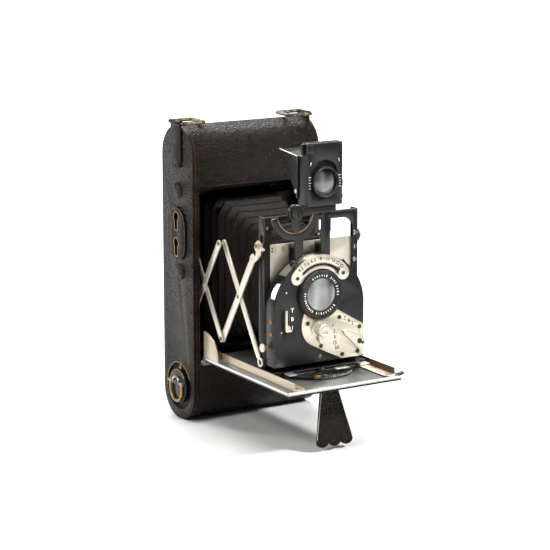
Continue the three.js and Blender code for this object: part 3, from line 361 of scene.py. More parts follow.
# ---------------------------------------------------------------- piece helpers, in millimetres
FACING = {
    "front": Matrix(((1, 0, 0, 0), (0, 0, -1, 0), (0, 1, 0, 0), (0, 0, 0, 1))),
    "left": Matrix(((0, 0, -1, 0), (-1, 0, 0, 0), (0, 1, 0, 0), (0, 0, 0, 1))),
    "right": Matrix(((0, 0, 1, 0), (1, 0, 0, 0), (0, 1, 0, 0), (0, 0, 0, 1))),
    "top": Matrix.Identity(4),
    "back": Matrix(((-1, 0, 0, 0), (0, 0, 1, 0), (0, 1, 0, 0), (0, 0, 0, 1))),
}


class Box:
    """A CAD node's corners in millimetres."""

    def __init__(self, node):
        low, high = (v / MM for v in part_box(node))
        self.x0, self.y0, self.z0 = low
        self.x1, self.y1, self.z1 = high
        self.x, self.y, self.z = (low + high) / 2


def body_of_node(node):
    return next(b for b, nodes in frame["record"]["behaviour"]["bodies"].items() if node in nodes)


def place(name, mesh, material, node, replaces=(), smooth=True):
    """Adds a mesh given in millimetres, riding with the named CAD node's body."""
    mesh.transform(Matrix.Scale(MM, 4))
    mesh.materials.clear()
    mesh.materials.append(material)
    for p in mesh.polygons:
        p.use_smooth = smooth
    o = bpy.data.objects.new(name, mesh)
    bpy.context.scene.collection.objects.link(o)
    if smooth:
        sharp = o.modifiers.new("sharp", "EDGE_SPLIT")
        sharp.split_angle = math.radians(35)
    if node:
        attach(o, body_of_node(node))
    if replaces:
        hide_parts(*replaces)
    return o


def joined(name, meshes):
    out = bmesh.new()
    for m in meshes:
        out.from_mesh(m)
    bmesh.ops.remove_doubles(out, verts=out.verts, dist=1e-4)
    mesh = bpy.data.meshes.new(name)
    out.to_mesh(mesh)
    out.free()
    return mesh


def from_curve(curve):
    o = bpy.data.objects.new("shape", curve)
    bpy.context.scene.collection.objects.link(o)
    bpy.context.view_layer.update()
    mesh = bpy.data.meshes.new_from_object(o.evaluated_get(bpy.context.evaluated_depsgraph_get()))
    bpy.data.objects.remove(o)
    return mesh


def sheet(loops, facing, base, thick, bevel=0.0):
    """Closed outlines (holes too) made into a plate whose underside lies at base, standing out by thick."""
    curve = bpy.data.curves.new("sheet", "CURVE")
    curve.dimensions = "2D"
    curve.fill_mode = "BOTH"
    curve.extrude = thick / 2 - bevel
    curve.bevel_depth = bevel
    curve.bevel_resolution = 1
    curve.offset = -bevel
    for loop in loops:
        s = curve.splines.new("POLY")
        s.points.add(len(loop) - 1)
        for point, (u, v) in zip(s.points, loop):
            point.co = (u, v, 0, 1)
        s.use_cyclic_u = True
    mesh = from_curve(curve)
    mesh.transform(FACING[facing] @ Matrix.Translation((0, 0, base + thick / 2)))
    return mesh


def text(words, u, v, size, facing, base, thick=0.05, turn=0.0, bold=0.0):
    curve = bpy.data.curves.new("text", "FONT")
    curve.body = words
    curve.size = size
    curve.extrude = thick / 2
    curve.align_x = "CENTER"
    curve.align_y = "CENTER"
    curve.resolution_u = 2
    curve.offset = bold
    mesh = from_curve(curve)
    mesh.transform(FACING[facing] @ Matrix.Translation((u, v, base + thick / 2)) @ Matrix.Rotation(turn, 4, "Z"))
    return mesh


def disc(u, v, r, sides=32, start=0.0, stop=2 * math.pi):
    steps = [start + (stop - start) * i / sides for i in range(sides)]
    return [(u + r * math.cos(a), v + r * math.sin(a)) for a in steps]


def band(u, v, inner, outer, start, stop, sides=40):
    angles = [math.radians(start + (stop - start) * i / sides) for i in range(sides + 1)]
    return [(u + outer * math.cos(a), v + outer * math.sin(a)) for a in angles] + \
        [(u + inner * math.cos(a), v + inner * math.sin(a)) for a in reversed(angles)]


def rect(u0, u1, v0, v1):
    return [(u0, v0), (u1, v0), (u1, v1), (u0, v1)]


def capsule(u, v0, v1, r, sides=12):
    return disc(u, v1, r, sides, 0, math.pi) + [(u - r, v1)] + disc(u, v0, r, sides, math.pi, 2 * math.pi) + [(u + r, v0)]


def lathe(profile, facing, u, v, base=0.0, sides=64, start=0.0, stop=360.0):
    """A closed (radius, height) outline turned about the line through (u, v)."""
    full = stop - start >= 360
    turns = sides if full else sides + 1
    verts, faces = [], []
    n = len(profile)
    for i in range(turns):
        a = math.radians(start + (stop - start) * i / sides)
        verts += [(u + r * math.cos(a), v + r * math.sin(a), base + h) for r, h in profile]
    for i in range(sides):
        j = (i + 1) % turns
        for k in range(n):
            l = (k + 1) % n
            faces.append((i * n + k, j * n + k, j * n + l, i * n + l))
    if not full:
        faces += [tuple(reversed(range(n))), tuple((turns - 1) * n + k for k in range(n))]
    mesh = bpy.data.meshes.new("turned")
    mesh.from_pydata(verts, [], faces)
    b = bmesh.new()
    b.from_mesh(mesh)
    bmesh.ops.remove_doubles(b, verts=b.verts, dist=1e-5)
    bmesh.ops.dissolve_degenerate(b, edges=b.edges, dist=1e-5)
    bmesh.ops.recalc_face_normals(b, faces=b.faces)
    b.to_mesh(mesh)
    b.free()
    mesh.transform(FACING[facing])
    return mesh


def wire(points, radius, closed=False, sides=3):
    curve = bpy.data.curves.new("wire", "CURVE")
    curve.dimensions = "3D"
    curve.bevel_depth = radius
    curve.bevel_resolution = sides
    curve.use_fill_caps = True
    s = curve.splines.new("POLY")
    s.points.add(len(points) - 1)
    for point, p in zip(s.points, points):
        point.co = (*p, 1)
    s.use_cyclic_u = closed
    return from_curve(curve)


def screw(u, v, r, facing, base, high=0.45, turn=0.4):
    """A low round screw head with a slot."""
    half = r * 0.16
    a = math.asin(half / r)
    side = disc(0, 0, r * 0.97, 14, a, math.pi - a) + [(-r * 0.95, half)]
    loops = [side, [(x, -y) for x, y in side]]
    c, s = math.cos(turn), math.sin(turn)
    loops = [[(u + x * c - y * s, v + x * s + y * c) for x, y in loop] for loop in loops]
    return [
        lathe([(0, 0), (r, 0), (r, high * 0.5), (0, high * 0.5)], facing, u, v, base, 24),
        sheet(loops, facing, base + high * 0.4, high * 0.6, 0.05),
    ]


# ---------------------------------------------------------------- the case
def case_trim():
    shell = Box("body_shell")
    plate = Box("side_plate_left")
    side = -plate.x0
    ridges = []
    for x in (33.6, 35.5):
        for s in (-1, 1):
            ridges.append(sheet([capsule(s * x, -60, 63, 0.22)], "front", -shell.y0 - 0.05, 0.22, 0.06))
    ridges.append(sheet([rect(-33.3, 33.3, 45.9, 46.2)], "front", -shell.y0 - 0.05, 0.2, 0.05))
    place("case_front_ridges", joined("ridges", ridges), LEATHER, "body_shell")

    domes = []
    for y, z, r in ((-16.3, 42.6, 4.2), (-18, 1.8, 4.2)):
        steps = [(r * math.cos(t), 1.5 * math.sin(t)) for t in (0, 0.35, 0.75, 1.15, math.pi / 2)]
        domes.append(lathe([(0, -0.4), (r, -0.4)] + steps, "left", -y, z, side, 32))
    place("side_pads", joined("domes", domes), LEATHER, "side_plate_left")

    acc = Box("accessory_plate")
    face = -acc.x0
    rims = []
    for z in (29.4, 16.2):
        outer = keyhole_outline(-acc.y, z, 2.75, 1.75, 5.6)
        inner = keyhole_outline(-acc.y, z, 2.25, 1.3, 5.6)
        rims.append(sheet([outer, inner], "left", face - 0.02, 0.14, 0.04))
    place("keyhole_rims", joined("rims", rims), BRASS, "accessory_plate")
    edge = sheet([capsule(-acc.y, acc.z0 + 8.8, acc.z1 - 8.8, 8.75, 20),
                  capsule(-acc.y, acc.z0 + 8.8, acc.z1 - 8.8, 8.35, 20)], "left", face - 0.03, 0.1, 0.03)
    place("accessory_plate_edge", edge, ENAMEL_WORN, "accessory_plate")

    for tag, facing, sign in (("left", "left", -1), ("right", "right", 1)):
        lug = Box(f"strap_lug_{tag}")
        outside = -Box("side_plate_left").x0 + 0.8
        u = -lug.y if sign < 0 else lug.y
        rivets = [m for z in (67.3, 57.4) for m in
                  [lathe([(0, 0), (1.1, 0), (0.95, 0.3), (0.5, 0.45), (0, 0.5)], facing, u, z, outside - 0.05, 20)]]
        place(f"strap_lug_rivets_{tag}", joined("rivets", rivets), ENAMEL_WORN, f"strap_lug_{tag}")
        loop = Box(f"strap_loop_{tag}")
        r = 0.95
        x0, x1 = loop.x0 + 0.6, loop.x1 - 0.6
        y0, y1 = loop.y0 + 0.3, loop.y1 - 0.3
        z = loop.z
        corner = 1.6
        inner = x1 if sign < 0 else x0
        outer = x0 if sign < 0 else x1
        k = 1 if sign < 0 else -1
        points = [(outer, y0, z)]
        for cx, cy, a0 in ((inner - k * corner, y0 + corner, -90), (inner - k * corner, y1 - corner, 0)):
            for i in range(6):
                a = math.radians(a0 + 18 * i)
                points.append((cx + k * corner * math.cos(a), cy + corner * math.sin(a), z))
        points.append((outer, y1, z))
        bow = wire(points, r)
        axle = wire([(outer, y0 - 0.5, z), (outer, y1 + 0.5, z)], 0.62)
        place(f"strap_bow_{tag}", joined("bow", [bow, axle]), LOOP_BLACK, f"strap_loop_{tag}",
              [f"strap_loop_{tag}"])


def keyhole_outline(u, z, head, tail, drop):
    a = math.asin(tail / head)
    top = disc(u, z, head, 20, -math.pi / 2 + a, 1.5 * math.pi - a)
    low = disc(u, z - drop, tail, 10, math.pi, 2 * math.pi) + [(u + tail, z - drop)]
    return top + low


def winder_trim():
    key = Box("winding_key")
    ring = Box("winding_key_ring")
    u, z = -key.y, key.z
    side = -Box("side_plate_left").x0
    rim = lathe([(12.1, -0.25), (12.4, -0.25), (12.4, 0.1), (12.1, 0.1)], "left", u, z, side, 60, 25, 190)
    place("key_recess_rim", rim, BRASS, "side_plate_left")
    disc_face = side + 0.9
    edge = lathe([(8.3, -0.3), (8.62, -0.3), (8.62, -0.05), (8.5, 0.08), (8.3, 0.08)], "left", u, z, disc_face, 64, 40, 205)
    place("key_disc_rim", edge, BRASS, "winding_key")
    mark = sheet([[(u - 0.9, z + 8.8), (u + 0.3, z + 11.3), (u + 1.4, z + 9.0)]], "left", side - 1.15, 0.7, 0.06)
    place("winding_mark", mark, BRASS, "side_plate_left")
    pz = ring.z1 - 0.6
    posts = [wire([(ring.x0 + 0.6, ring.y - 7.1, pz), (ring.x0 + 0.6, ring.y - 4.2, pz)], 0.85),
             wire([(ring.x0 + 0.6, ring.y + 4.2, pz), (ring.x0 + 0.6, ring.y + 7.1, pz)], 0.85)]
    arch = [(-disc_face - 1.1, ring.y + 3.2 * math.cos(t), pz + 2.9 * math.sin(t)) for t in
            [math.pi * i / 10 for i in range(11)]]
    posts.append(wire(arch, 0.55))
    place("key_trunnions", joined("posts", posts), STEEL, "winding_key")
    half = (ring.y1 - ring.y0) / 2 - 0.7
    low = ring.z0 + 0.7 + half
    bow = [(ring.x0 + 0.6, ring.y - half, pz)]
    bow += [(ring.x0 + 0.6, ring.y - half * math.cos(t), low - half * math.sin(t)) for t in
            [math.pi * i / 18 for i in range(19)]]
    bow.append((ring.x0 + 0.6, ring.y + half, pz))
    place("key_ring_bow", wire(bow, 0.8), BRASS, "winding_key_ring", ["winding_key_ring"])


# ---------------------------------------------------------------- the bellows
def bellows():
    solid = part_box("bellows")
    lo, hi = (v / MM for v in solid)
    verts = [tuple(v.co / MM) for v in frame["nodes"]["bellows"].data.vertices]
    front = [v for v in verts if v[1] < lo.y + 1]
    rear = [v for v in verts if v[1] > hi.y - 1]
    spans = []
    for ring in (front, rear):
        spans.append((max(v[0] for v in ring), min(v[2] for v in ring), max(v[2] for v in ring)))
    pleats = 11
    profile = [(0.0, 0.0), (0.10, 0.12), (0.34, 2.2), (0.5, 3.1), (0.66, 2.2), (0.90, 0.12)]
    stations = [((p + t) / pleats, d) for p in range(pleats) for t, d in profile] + [(1.0, 0.0)]
    rings = []
    for wall in (0.0, 0.7):
        for t, depth in stations if wall == 0 else reversed(stations):
            (w0, b0, t0), (w1, b1, t1) = spans
            y = lo.y + (hi.y - lo.y) * t
            depth *= 0.55 + 0.45 * t
            w = w0 + (w1 - w0) * t - depth - wall
            b = b0 + (b1 - b0) * t + depth + wall
            top = t0 + (t1 - t0) * t - depth - wall
            c = 0.2 + 0.05 * depth / 3
            mid, half = (top + b) / 2, (top - b) / 2
            outline = [(-1 + c, -1), (1 - c, -1), (1, -1 + c), (1, 1 - c), (1 - c, 1), (-1 + c, 1),
                       (-1, 1 - c), (-1, -1 + c)]
            ring = []
            for k, (a, h) in enumerate(outline):
                a2, h2 = outline[(k + 1) % 8]
                for s in (0, 0.5) if k % 2 == 0 else (0,):
                    ring.append(((a + (a2 - a) * s) * w, y, mid + (h + (h2 - h) * s) * half))
            rings.append(ring)
    n = len(rings[0])
    faces = []
    for i in range(len(rings)):
        j = (i + 1) % len(rings)
        for k in range(n):
            l = (k + 1) % n
            faces.append((i * n + k, i * n + l, j * n + l, j * n + k))
    mesh = bpy.data.meshes.new("bellows")
    mesh.from_pydata([v for ring in rings for v in ring], [], faces)
    b = bmesh.new()
    b.from_mesh(mesh)
    bmesh.ops.recalc_face_normals(b, faces=b.faces)
    b.to_mesh(mesh)
    b.free()
    o = place("pleated_bellows", mesh, BELLOWS, None)
    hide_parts("bellows")
    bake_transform(o)


# ---------------------------------------------------------------- bed, rails and foot
def bed_trim():
    bed = Box("bed_plate")
    rail = Box("bed_rail_right")
    catch = [sheet([rect(rail.x1 - 2.4, rail.x1 + 0.4, 0.2, 2.0)], "top", rail.z0 + 0.4, 0.9, 0.15)]
    catch[0].transform(Matrix.Translation((0, rail.y0 - 0.6, 0)))
    catch.append(lathe([(0, 0), (0.9, 0), (0.8, 0.7), (0.4, 0.95), (0, 0.95)], "top", rail.x1 + 0.2,
                       rail.y0 + 1.6, rail.z0 + 0.6, 24))
    place("bed_catch", joined("catch", catch), ENAMEL, "bed_plate")
    studs = []
    for side, s in (("left", -1), ("right", 1)):
        r = Box(f"bed_rail_{side}")
        lip = r.z0 + 0.8
        for y in (r.y0 + 3.2, r.y1 - 14):
            studs += screw(s * 25.5, y, 0.95, "top", lip - 0.02, 0.3, 0.8)
    place("rail_screws", joined("studs", studs), STEEL, "bed_rail_left")
    # A rounded bead on the bed plate's side and front edges. Its near-white colour is a painted highlight where light
    # catches the edge.
    beads = []
    for s in (-1, 1):
        beads.append(wire([(s * bed.x1, bed.y0 + 0.6, bed.z1 - 0.5), (s * bed.x1, bed.y1 - 3, bed.z1 - 0.5)], 0.45))
    beads.append(wire([(bed.x0 + 0.2, bed.y0, bed.z1 - 0.5), (bed.x1 - 0.2, bed.y0, bed.z1 - 0.5)], 0.45))
    place("bed_edge_painted_highlight", joined("beads", beads), EDGE, "bed_plate")


def foot_trim():
    node = frame["nodes"]["foot"]
    verts = [v.co / MM for v in node.data.vertices]
    pivot = next(j for j in frame["joints"] if j["child"] == "foot_strut")["pos_m"]
    p = Vector(pivot) / MM
    lean = Matrix.Translation(p) @ Matrix.Rotation(-0.2, 4, "X")
    long = max((v - p).length for v in verts) - 2.9
    edges = []
    for s in (-1, 1):
        edges.append(wire([(s * 4.35, -0.62, -1), (s * 10.05, -0.62, -long * 0.93)], 0.16))
    mesh = joined("edges", edges)
    mesh.transform(lean)
    place("foot_edge_lines", mesh, NICKEL, "foot")


# ---------------------------------------------------------------- carriage and standard
def carriage_trim():
    car = Box("carriage")
    std = Box("standard_frame")
    lever = Box("focus_lever")
    top = std.z0
    pads = [sheet([rect(-22.8, -18.6, 0, 4.6), rect(18.4, 23.4, 0, 4.4)], "top", top - 0.02, 0.5, 0.12),
            sheet([rect(3.4, 11.2, -0.6, 2.2)], "top", top - 0.02, 0.35, 0.1)]
    for m in pads:
        m.transform(Matrix.Translation((0, car.y0 + 3.2, 0)))
    place("carriage_pads", joined("pads", pads), ALLOY, "carriage")
    rim = []
    radius, cy = 23.0, -79.0
    for i in range(-9, 14):
        a = math.radians(-90 + i * 2.6)
        x, y = radius * math.cos(a), cy + radius * math.sin(a)
        tick = sheet([rect(-0.09, 0.09, -0.45, 0.45 if i % 3 else 0.75)], "front", 0, 0.16)
        tick.transform(Matrix.Translation((x, y - 0.02, car.z0 + 0.8)) @ Matrix.Rotation(a + math.pi / 2, 4, "Z"))
        rim.append(tick)
    for words, i in (("10", -6), ("6", 0), ("4", 5), ("3", 9), ("2", 13)):
        a = math.radians(-90 + i * 2.6 + 1.3)
        label = text(words, 0, 0, 1.2, "front", 0, 0.08)
        label.transform(Matrix.Translation((radius * math.cos(a), cy + radius * math.sin(a) - 0.04, car.z0 + 0.85))
                        @ Matrix.Rotation(a + math.pi / 2, 4, "Z"))
        rim.append(label)
    place("focus_scale", joined("ticks", rim), CREAM, "carriage")
    ring = Box("focus_lever")
    cx, cy2 = ring.x0 + 3, ring.y0 + 3
    torus = lathe([(2.35 + 0.75 * math.cos(t), 0.75 * math.sin(t)) for t in [2 * math.pi * i / 10 for i in range(10)]],
                  "top", cx, cy2, lever.z + 0.1, 32)
    hub = lathe([(0, 0), (1.9, 0), (1.8, 0.7), (1.2, 1.0), (0, 1.05)], "top", ring.x1 - 1.9, ring.y1 - 1.9,
                lever.z1 - 0.05, 24)
    place("focus_lever_ring", joined("ring", [torus]), LOOP_BLACK, "focus_lever")
    place("focus_lever_hub", hub, ENAMEL_WORN, "focus_lever")


def standard_trim():
    std = Box("standard_frame")
    panel = Box("rise_panel")
    marks = []
    bar = (23.6 + std.x1) / 2
    face = -std.y0
    for words, z in (("2", 26.1), ("1", 19.1), ("0", 12.7)):
        marks.append(text(words, bar - 0.4, z, 3.1, "front", face, 0.06, 0, 0.03))
        marks.append(sheet([rect(bar + 0.7, bar + 1.35, z - 0.14, z + 0.14)], "front", face, 0.06))
    place("rise_scale", joined("marks", marks), SILVER, "standard_frame")
    cross = []
    pf = -panel.y0
    for words, x in (("2", -21.5), ("1", -15.9), ("0", -11.9)):
        cross.append(text(words, x, panel.z1 - 2.6, 3.3, "front", pf, 0.05, 0, 0.03))
    for x in (-19.9, -15.0, -14.4):
        cross.append(sheet([rect(x - 0.1, x + 0.1, panel.z1 - 4.4, panel.z1 - 0.8)], "front", pf, 0.05))
    place("cross_scale", joined("cross", cross), INK, "rise_panel")
    screws = []
    for x, z in ((std.x0 + 1.5, 33), (std.x0 + 1.5, -12), (bar, -6), (bar, -26)):
        screws += screw(x, z, 0.75, "front", face, 0.3, 1.0)
    place("standard_screws", joined("screws", screws), BRASS, "standard_frame")
    stud = Box("tong_stud_right")
    collar = lathe([(0.9, 0), (3.1, 0), (3.25, 0.4), (3.1, 1.1), (0.9, 1.2)], "right", stud.y, stud.z, std.x1 + 0.15, 40)
    place("stud_collar", collar, ENAMEL_WORN, "tong_stud_right")


# ---------------------------------------------------------------- shutter
def housing_trim():
    h = Box("shutter_housing")
    face = -h.y0
    cx = h.x
    radius = (h.x1 - h.x0) / 2
    cz = h.z1 - radius
    # Painted reflection: a beige metal band along the upper arch's side stands for the cream plates seen reflected in
    # the glossy black enamel.
    strip = lathe([(radius - 0.1, -6.9), (radius + 0.14, -6.9), (radius + 0.14, -0.9), (radius - 0.1, -0.9)],
                  "front", cx, cz, face, 60, 70, 138)
    place("housing_arch_painted_reflection", strip, REFLECTION_STRIP, "shutter_housing")
    # Painted highlight: a bright alloy band on the arch's upper left side, where a lamp's highlight falls on the black
    # enamel.
    gleam = lathe([(radius - 0.1, -5.4), (radius + 0.06, -5.2), (radius + 0.06, -1.6), (radius - 0.1, -1.4)],
                  "front", cx, cz, face, 24, 148, 166)
    place("housing_arch_painted_highlight", gleam, ALLOY, "shutter_housing")
    screws = []
    for z in (-11.2, -17.6):
        screws += screw(-(h.y0 + 3.4), z, 1.0, "left", -h.x0, 0.35, 0.9)
    screws += screw(cx + 0.1, h.z0 + 2.9, 1.05, "front", face, 0.35, 0.5)
    place("housing_screws", joined("screws", screws), COPPER, "shutter_housing")
    bumps = []
    for x, z in ((h.x0 + 6.4, 2.6), (h.x0 + 3.6, -16.6)):
        bumps.append(lathe([(0, 0), (0.35, 0), (0.3, 0.12), (0, 0.16)], "front", x, z, face, 16))
    mode = Box("mode_lever")
    for words, dz in (("T", 8.2), ("B", 4.0), ("I", -0.2)):
        bumps.append(text(words, mode.x + 3.0, mode.z + dz, 2.8, "front", face, 0.06, 0, 0.03))
    place("housing_marks", joined("marks", bumps), WHITE, "shutter_housing")
    post = [lathe([(0, 0), (1.7, 0), (1.7, 2.6), (1.4, 3.2), (0, 3.3)], "front", -14.9, 15.9, 88.9 - 0.4, 28)]
    place("housing_post", joined("post", post), ENAMEL_WORN, "shutter_housing")
    top = mode.z + 8.9
    arm = [sheet([[(mode.x - 1.7, top), (mode.x - 1.7, mode.z - 1.0), (mode.x - 0.9, mode.z - 1.7),
                   (mode.x + 1.9, mode.z - 1.7), (mode.x + 1.9, mode.z - 0.8), (mode.x - 0.5, mode.z - 0.6),
                   (mode.x - 0.5, top)]], "front", -mode.y0 - 0.2, 0.5, 0.1)]
    place("mode_lever_arm", joined("arm", arm), NICKEL, "mode_lever")
    slot = sheet([capsule(mode.x, mode.z - 0.9, mode.z + 8.3, 1.35), capsule(mode.x, mode.z - 0.6, mode.z + 8.2, 0.92)],
                 "front", face - 0.03, 0.12, 0.03)
    place("mode_slot_rim", slot, ENAMEL_WORN, "shutter_housing")

    scale = Box("aperture_scale")
    af = -scale.y0
    inks = []
    lx, lz = Box("lens_barrel").x, Box("lens_barrel").z
    for words, angle in (("4.5", 130), ("5.6", 117), ("6.3", 104), ("8", 90), ("11", 76.5), ("16", 65.5),
                         ("22", 56.5), ("32", 47)):
        a = math.radians(angle)
        inks.append(text(words, lx + 17.3 * math.cos(a), lz + 17.3 * math.sin(a), 2.45, "front", af, 0.05,
                         (a - math.pi / 2) * 0.6, 0.035))
    inks.append(sheet([band(lx, lz, 15.45, 15.6, 46, 134)], "front", af, 0.04))
    place("aperture_numbers", joined("inks", inks), INK, "aperture_scale")
    ends = []
    for angle in (35.2, 145.2):
        a = math.radians(angle)
        ends += screw(lx + 15.8 * math.cos(a), lz + 15.8 * math.sin(a), 0.95, "front", af, 0.3, angle)
    place("aperture_screws", joined("ends", ends), DARK_SCREW, "aperture_scale")
    a0 = math.radians(48)
    arrow = sheet([[(13.0, -1.9), (13.9, -0.7), (15.6, -0.5), (16.2, 0.3), (15.2, 0.7), (14.4, 1.9), (13.8, 0.7),
                    (13.1, -0.2)]], "front", af + 0.28, 0.5, 0.08)
    arrow.transform(Matrix.Translation((lx, 0, lz)) @ Matrix.Rotation(-a0, 4, "Y"))
    tab = sheet([[(19.0, -1.9), (20.3, -1.9), (20.6, 1.7), (19.2, 1.7)]], "front", face - 0.4, 0.9, 0.12)
    tab.transform(Matrix.Translation((lx, 0, lz)) @ Matrix.Rotation(-math.radians(45.6), 4, "Y"))
    place("aperture_arrow", joined("arrow", [arrow]), INK, "aperture_pointer", ["aperture_pointer"])
    place("aperture_stop", tab, ENAMEL_WORN, "shutter_housing")

    speed = Box("speed_plate")
    sf = -speed.y0
    lever = Box("speed_lever")
    heads = []
    for x, z in ((-8.2, -13.6), (9.9, -12.6), (21.6, -18.6), (-0.6, -25.6), (11.6, -31.2), (20.6, -30.8)):
        heads += screw(x, z, 1.05, "front", sf - 0.02, 0.35, x)
    place("speed_plate_screws", joined("heads", heads), DARK_SCREW, "speed_plate")
    digits = []
    for words, x, z in (("1", 6.2, -16.2), ("2", 7.0, -19.2), ("5", 7.2, -22.2), ("15", 7.3, -25.0), ("50", 8.6, -27.6),
                        ("T", 13.0, -13.4), ("B", 15.4, -15.0), ("I", 17.4, -16.6)):
        digits.append(text(words, x, z, 2.5, "front", sf, 0.05, 0, 0.03))
    for i in range(7):
        a = math.radians(150 + 8 * i)
        digits.append(lathe([(0, 0), (0.22, 0), (0.22, 0.04), (0, 0.04)], "front",
                            21 + 13.6 * math.cos(a), -25.6 + 13.6 * math.sin(a), sf, 10))
    place("speed_numbers", joined("digits", digits), INK, "speed_plate")
    hub = screw(lever.x1 - 3, lever.z0 + 3, 1.3, "front", -lever.y0, 0.4, 0.7)
    hub += screw(lever.x1 - 1.0, lever.z0 + 2.0, 0.7, "front", -lever.y0, 0.3, 0.2)
    place("speed_lever_screws", joined("hub", hub), DARK_SCREW, "speed_lever")
    ridge = sheet([[(lever.x1 - 3.4, lever.z0 + 4.4), (lever.x0 + 2.0, lever.z1 - 1.6), (lever.x0 + 2.0, lever.z1 - 1.2),
                    (lever.x1 - 2.9, lever.z0 + 4.9)]], "front", -lever.y0 - 0.02, 0.16, 0.04)
    place("speed_lever_ridge", ridge, NICKEL, "speed_lever")
    knob = Box("release_knob")
    kx, kz = knob.x0 + 3.1, knob.z1 - 3.1
    cap = lathe([(0, 0), (2.75, 0), (3.2, 0.25), (3.25, 0.7), (2.9, 1.1), (2.0, 1.25), (1.7, 1.05), (0, 1.0)],
                "front", kx, kz, -knob.y0 - 0.2, 48)
    collar = lathe([(0, 0), (4.1, 0), (4.1, 0.25), (3.4, 0.5), (0, 0.5)], "front", kx, kz, -knob.y1, 48)
    place("release_knob_cap", joined("cap", [cap, collar]), NICKEL, "release_knob")
    lens_trim()


def lens_trim():
    lens = Box("lens_barrel")
    glass_box = Box("front_element")
    u, v = lens.x, lens.z
    rear, high = -lens.y1, lens.y1 - lens.y0
    out = (lens.x1 - lens.x0) / 2
    bore = (glass_box.x1 - glass_box.x0) / 2
    barrel = lathe([
        (bore + 0.05, 0), (bore + 0.05, high - 1.0), (bore + 0.35, high - 0.85), (bore + 0.35, high - 0.7),
        (out - 1.5, high - 0.35), (out - 1.35, high - 0.02), (out - 1.1, high + 0.06), (out - 0.75, high),
        (out - 0.6, high - 0.22), (out - 0.4, high - 0.2), (out - 0.2, high - 0.12), (out, high - 0.35),
        (out, 0.55), (out + 0.12, 0.4), (out + 0.12, 0)], "front", u, v, rear, 96)
    place("lens_mount_rings", barrel, SHUTTER, "lens_barrel", ["lens_barrel"])
    ticks = []
    middle = (bore + out - 1.15) / 2
    for a0, a1, n in ((122, 72, 7), (55, 32, 4), (20, -6, 4), (-40, -108, 9), (-124, -188, 10)):
        for i in range(n):
            a = math.radians(a0 + (a1 - a0) * i / (n - 1))
            long = (1.15, 0.8, 1.0)[i % 3]
            wide = (0.42, 0.3, 0.5, 0.26)[i % 4]
            tick = sheet([rect(-wide / 2, wide / 2, -long / 2, long / 2)], "front", 0, 0.06)
            tick.transform(FACING["front"] @ Matrix.Translation((u + middle * math.cos(a), v + middle * math.sin(a),
                           rear + high - 0.55)) @ Matrix.Rotation(a - math.pi / 2, 4, "Z")
                           @ Matrix.Rotation(0.16, 4, "X") @ FACING["front"].inverted())
            ticks.append(tick)
    place("lens_rim_marks", joined("ticks", ticks), WHITE, "lens_barrel")
    dome = glass_box.y1 - glass_box.y0
    steps = [(bore * (1 - i / 10), dome - 0.8 + 0.8 * (1 - (1 - i / 10) ** 2)) for i in range(11)]
    glass_mesh = lathe([(0, 0), (bore, 0)] + steps, "front", u, v, -glass_box.y1, 64)
    place("front_glass", glass_mesh, GLASS, "front_element", ["front_element"])


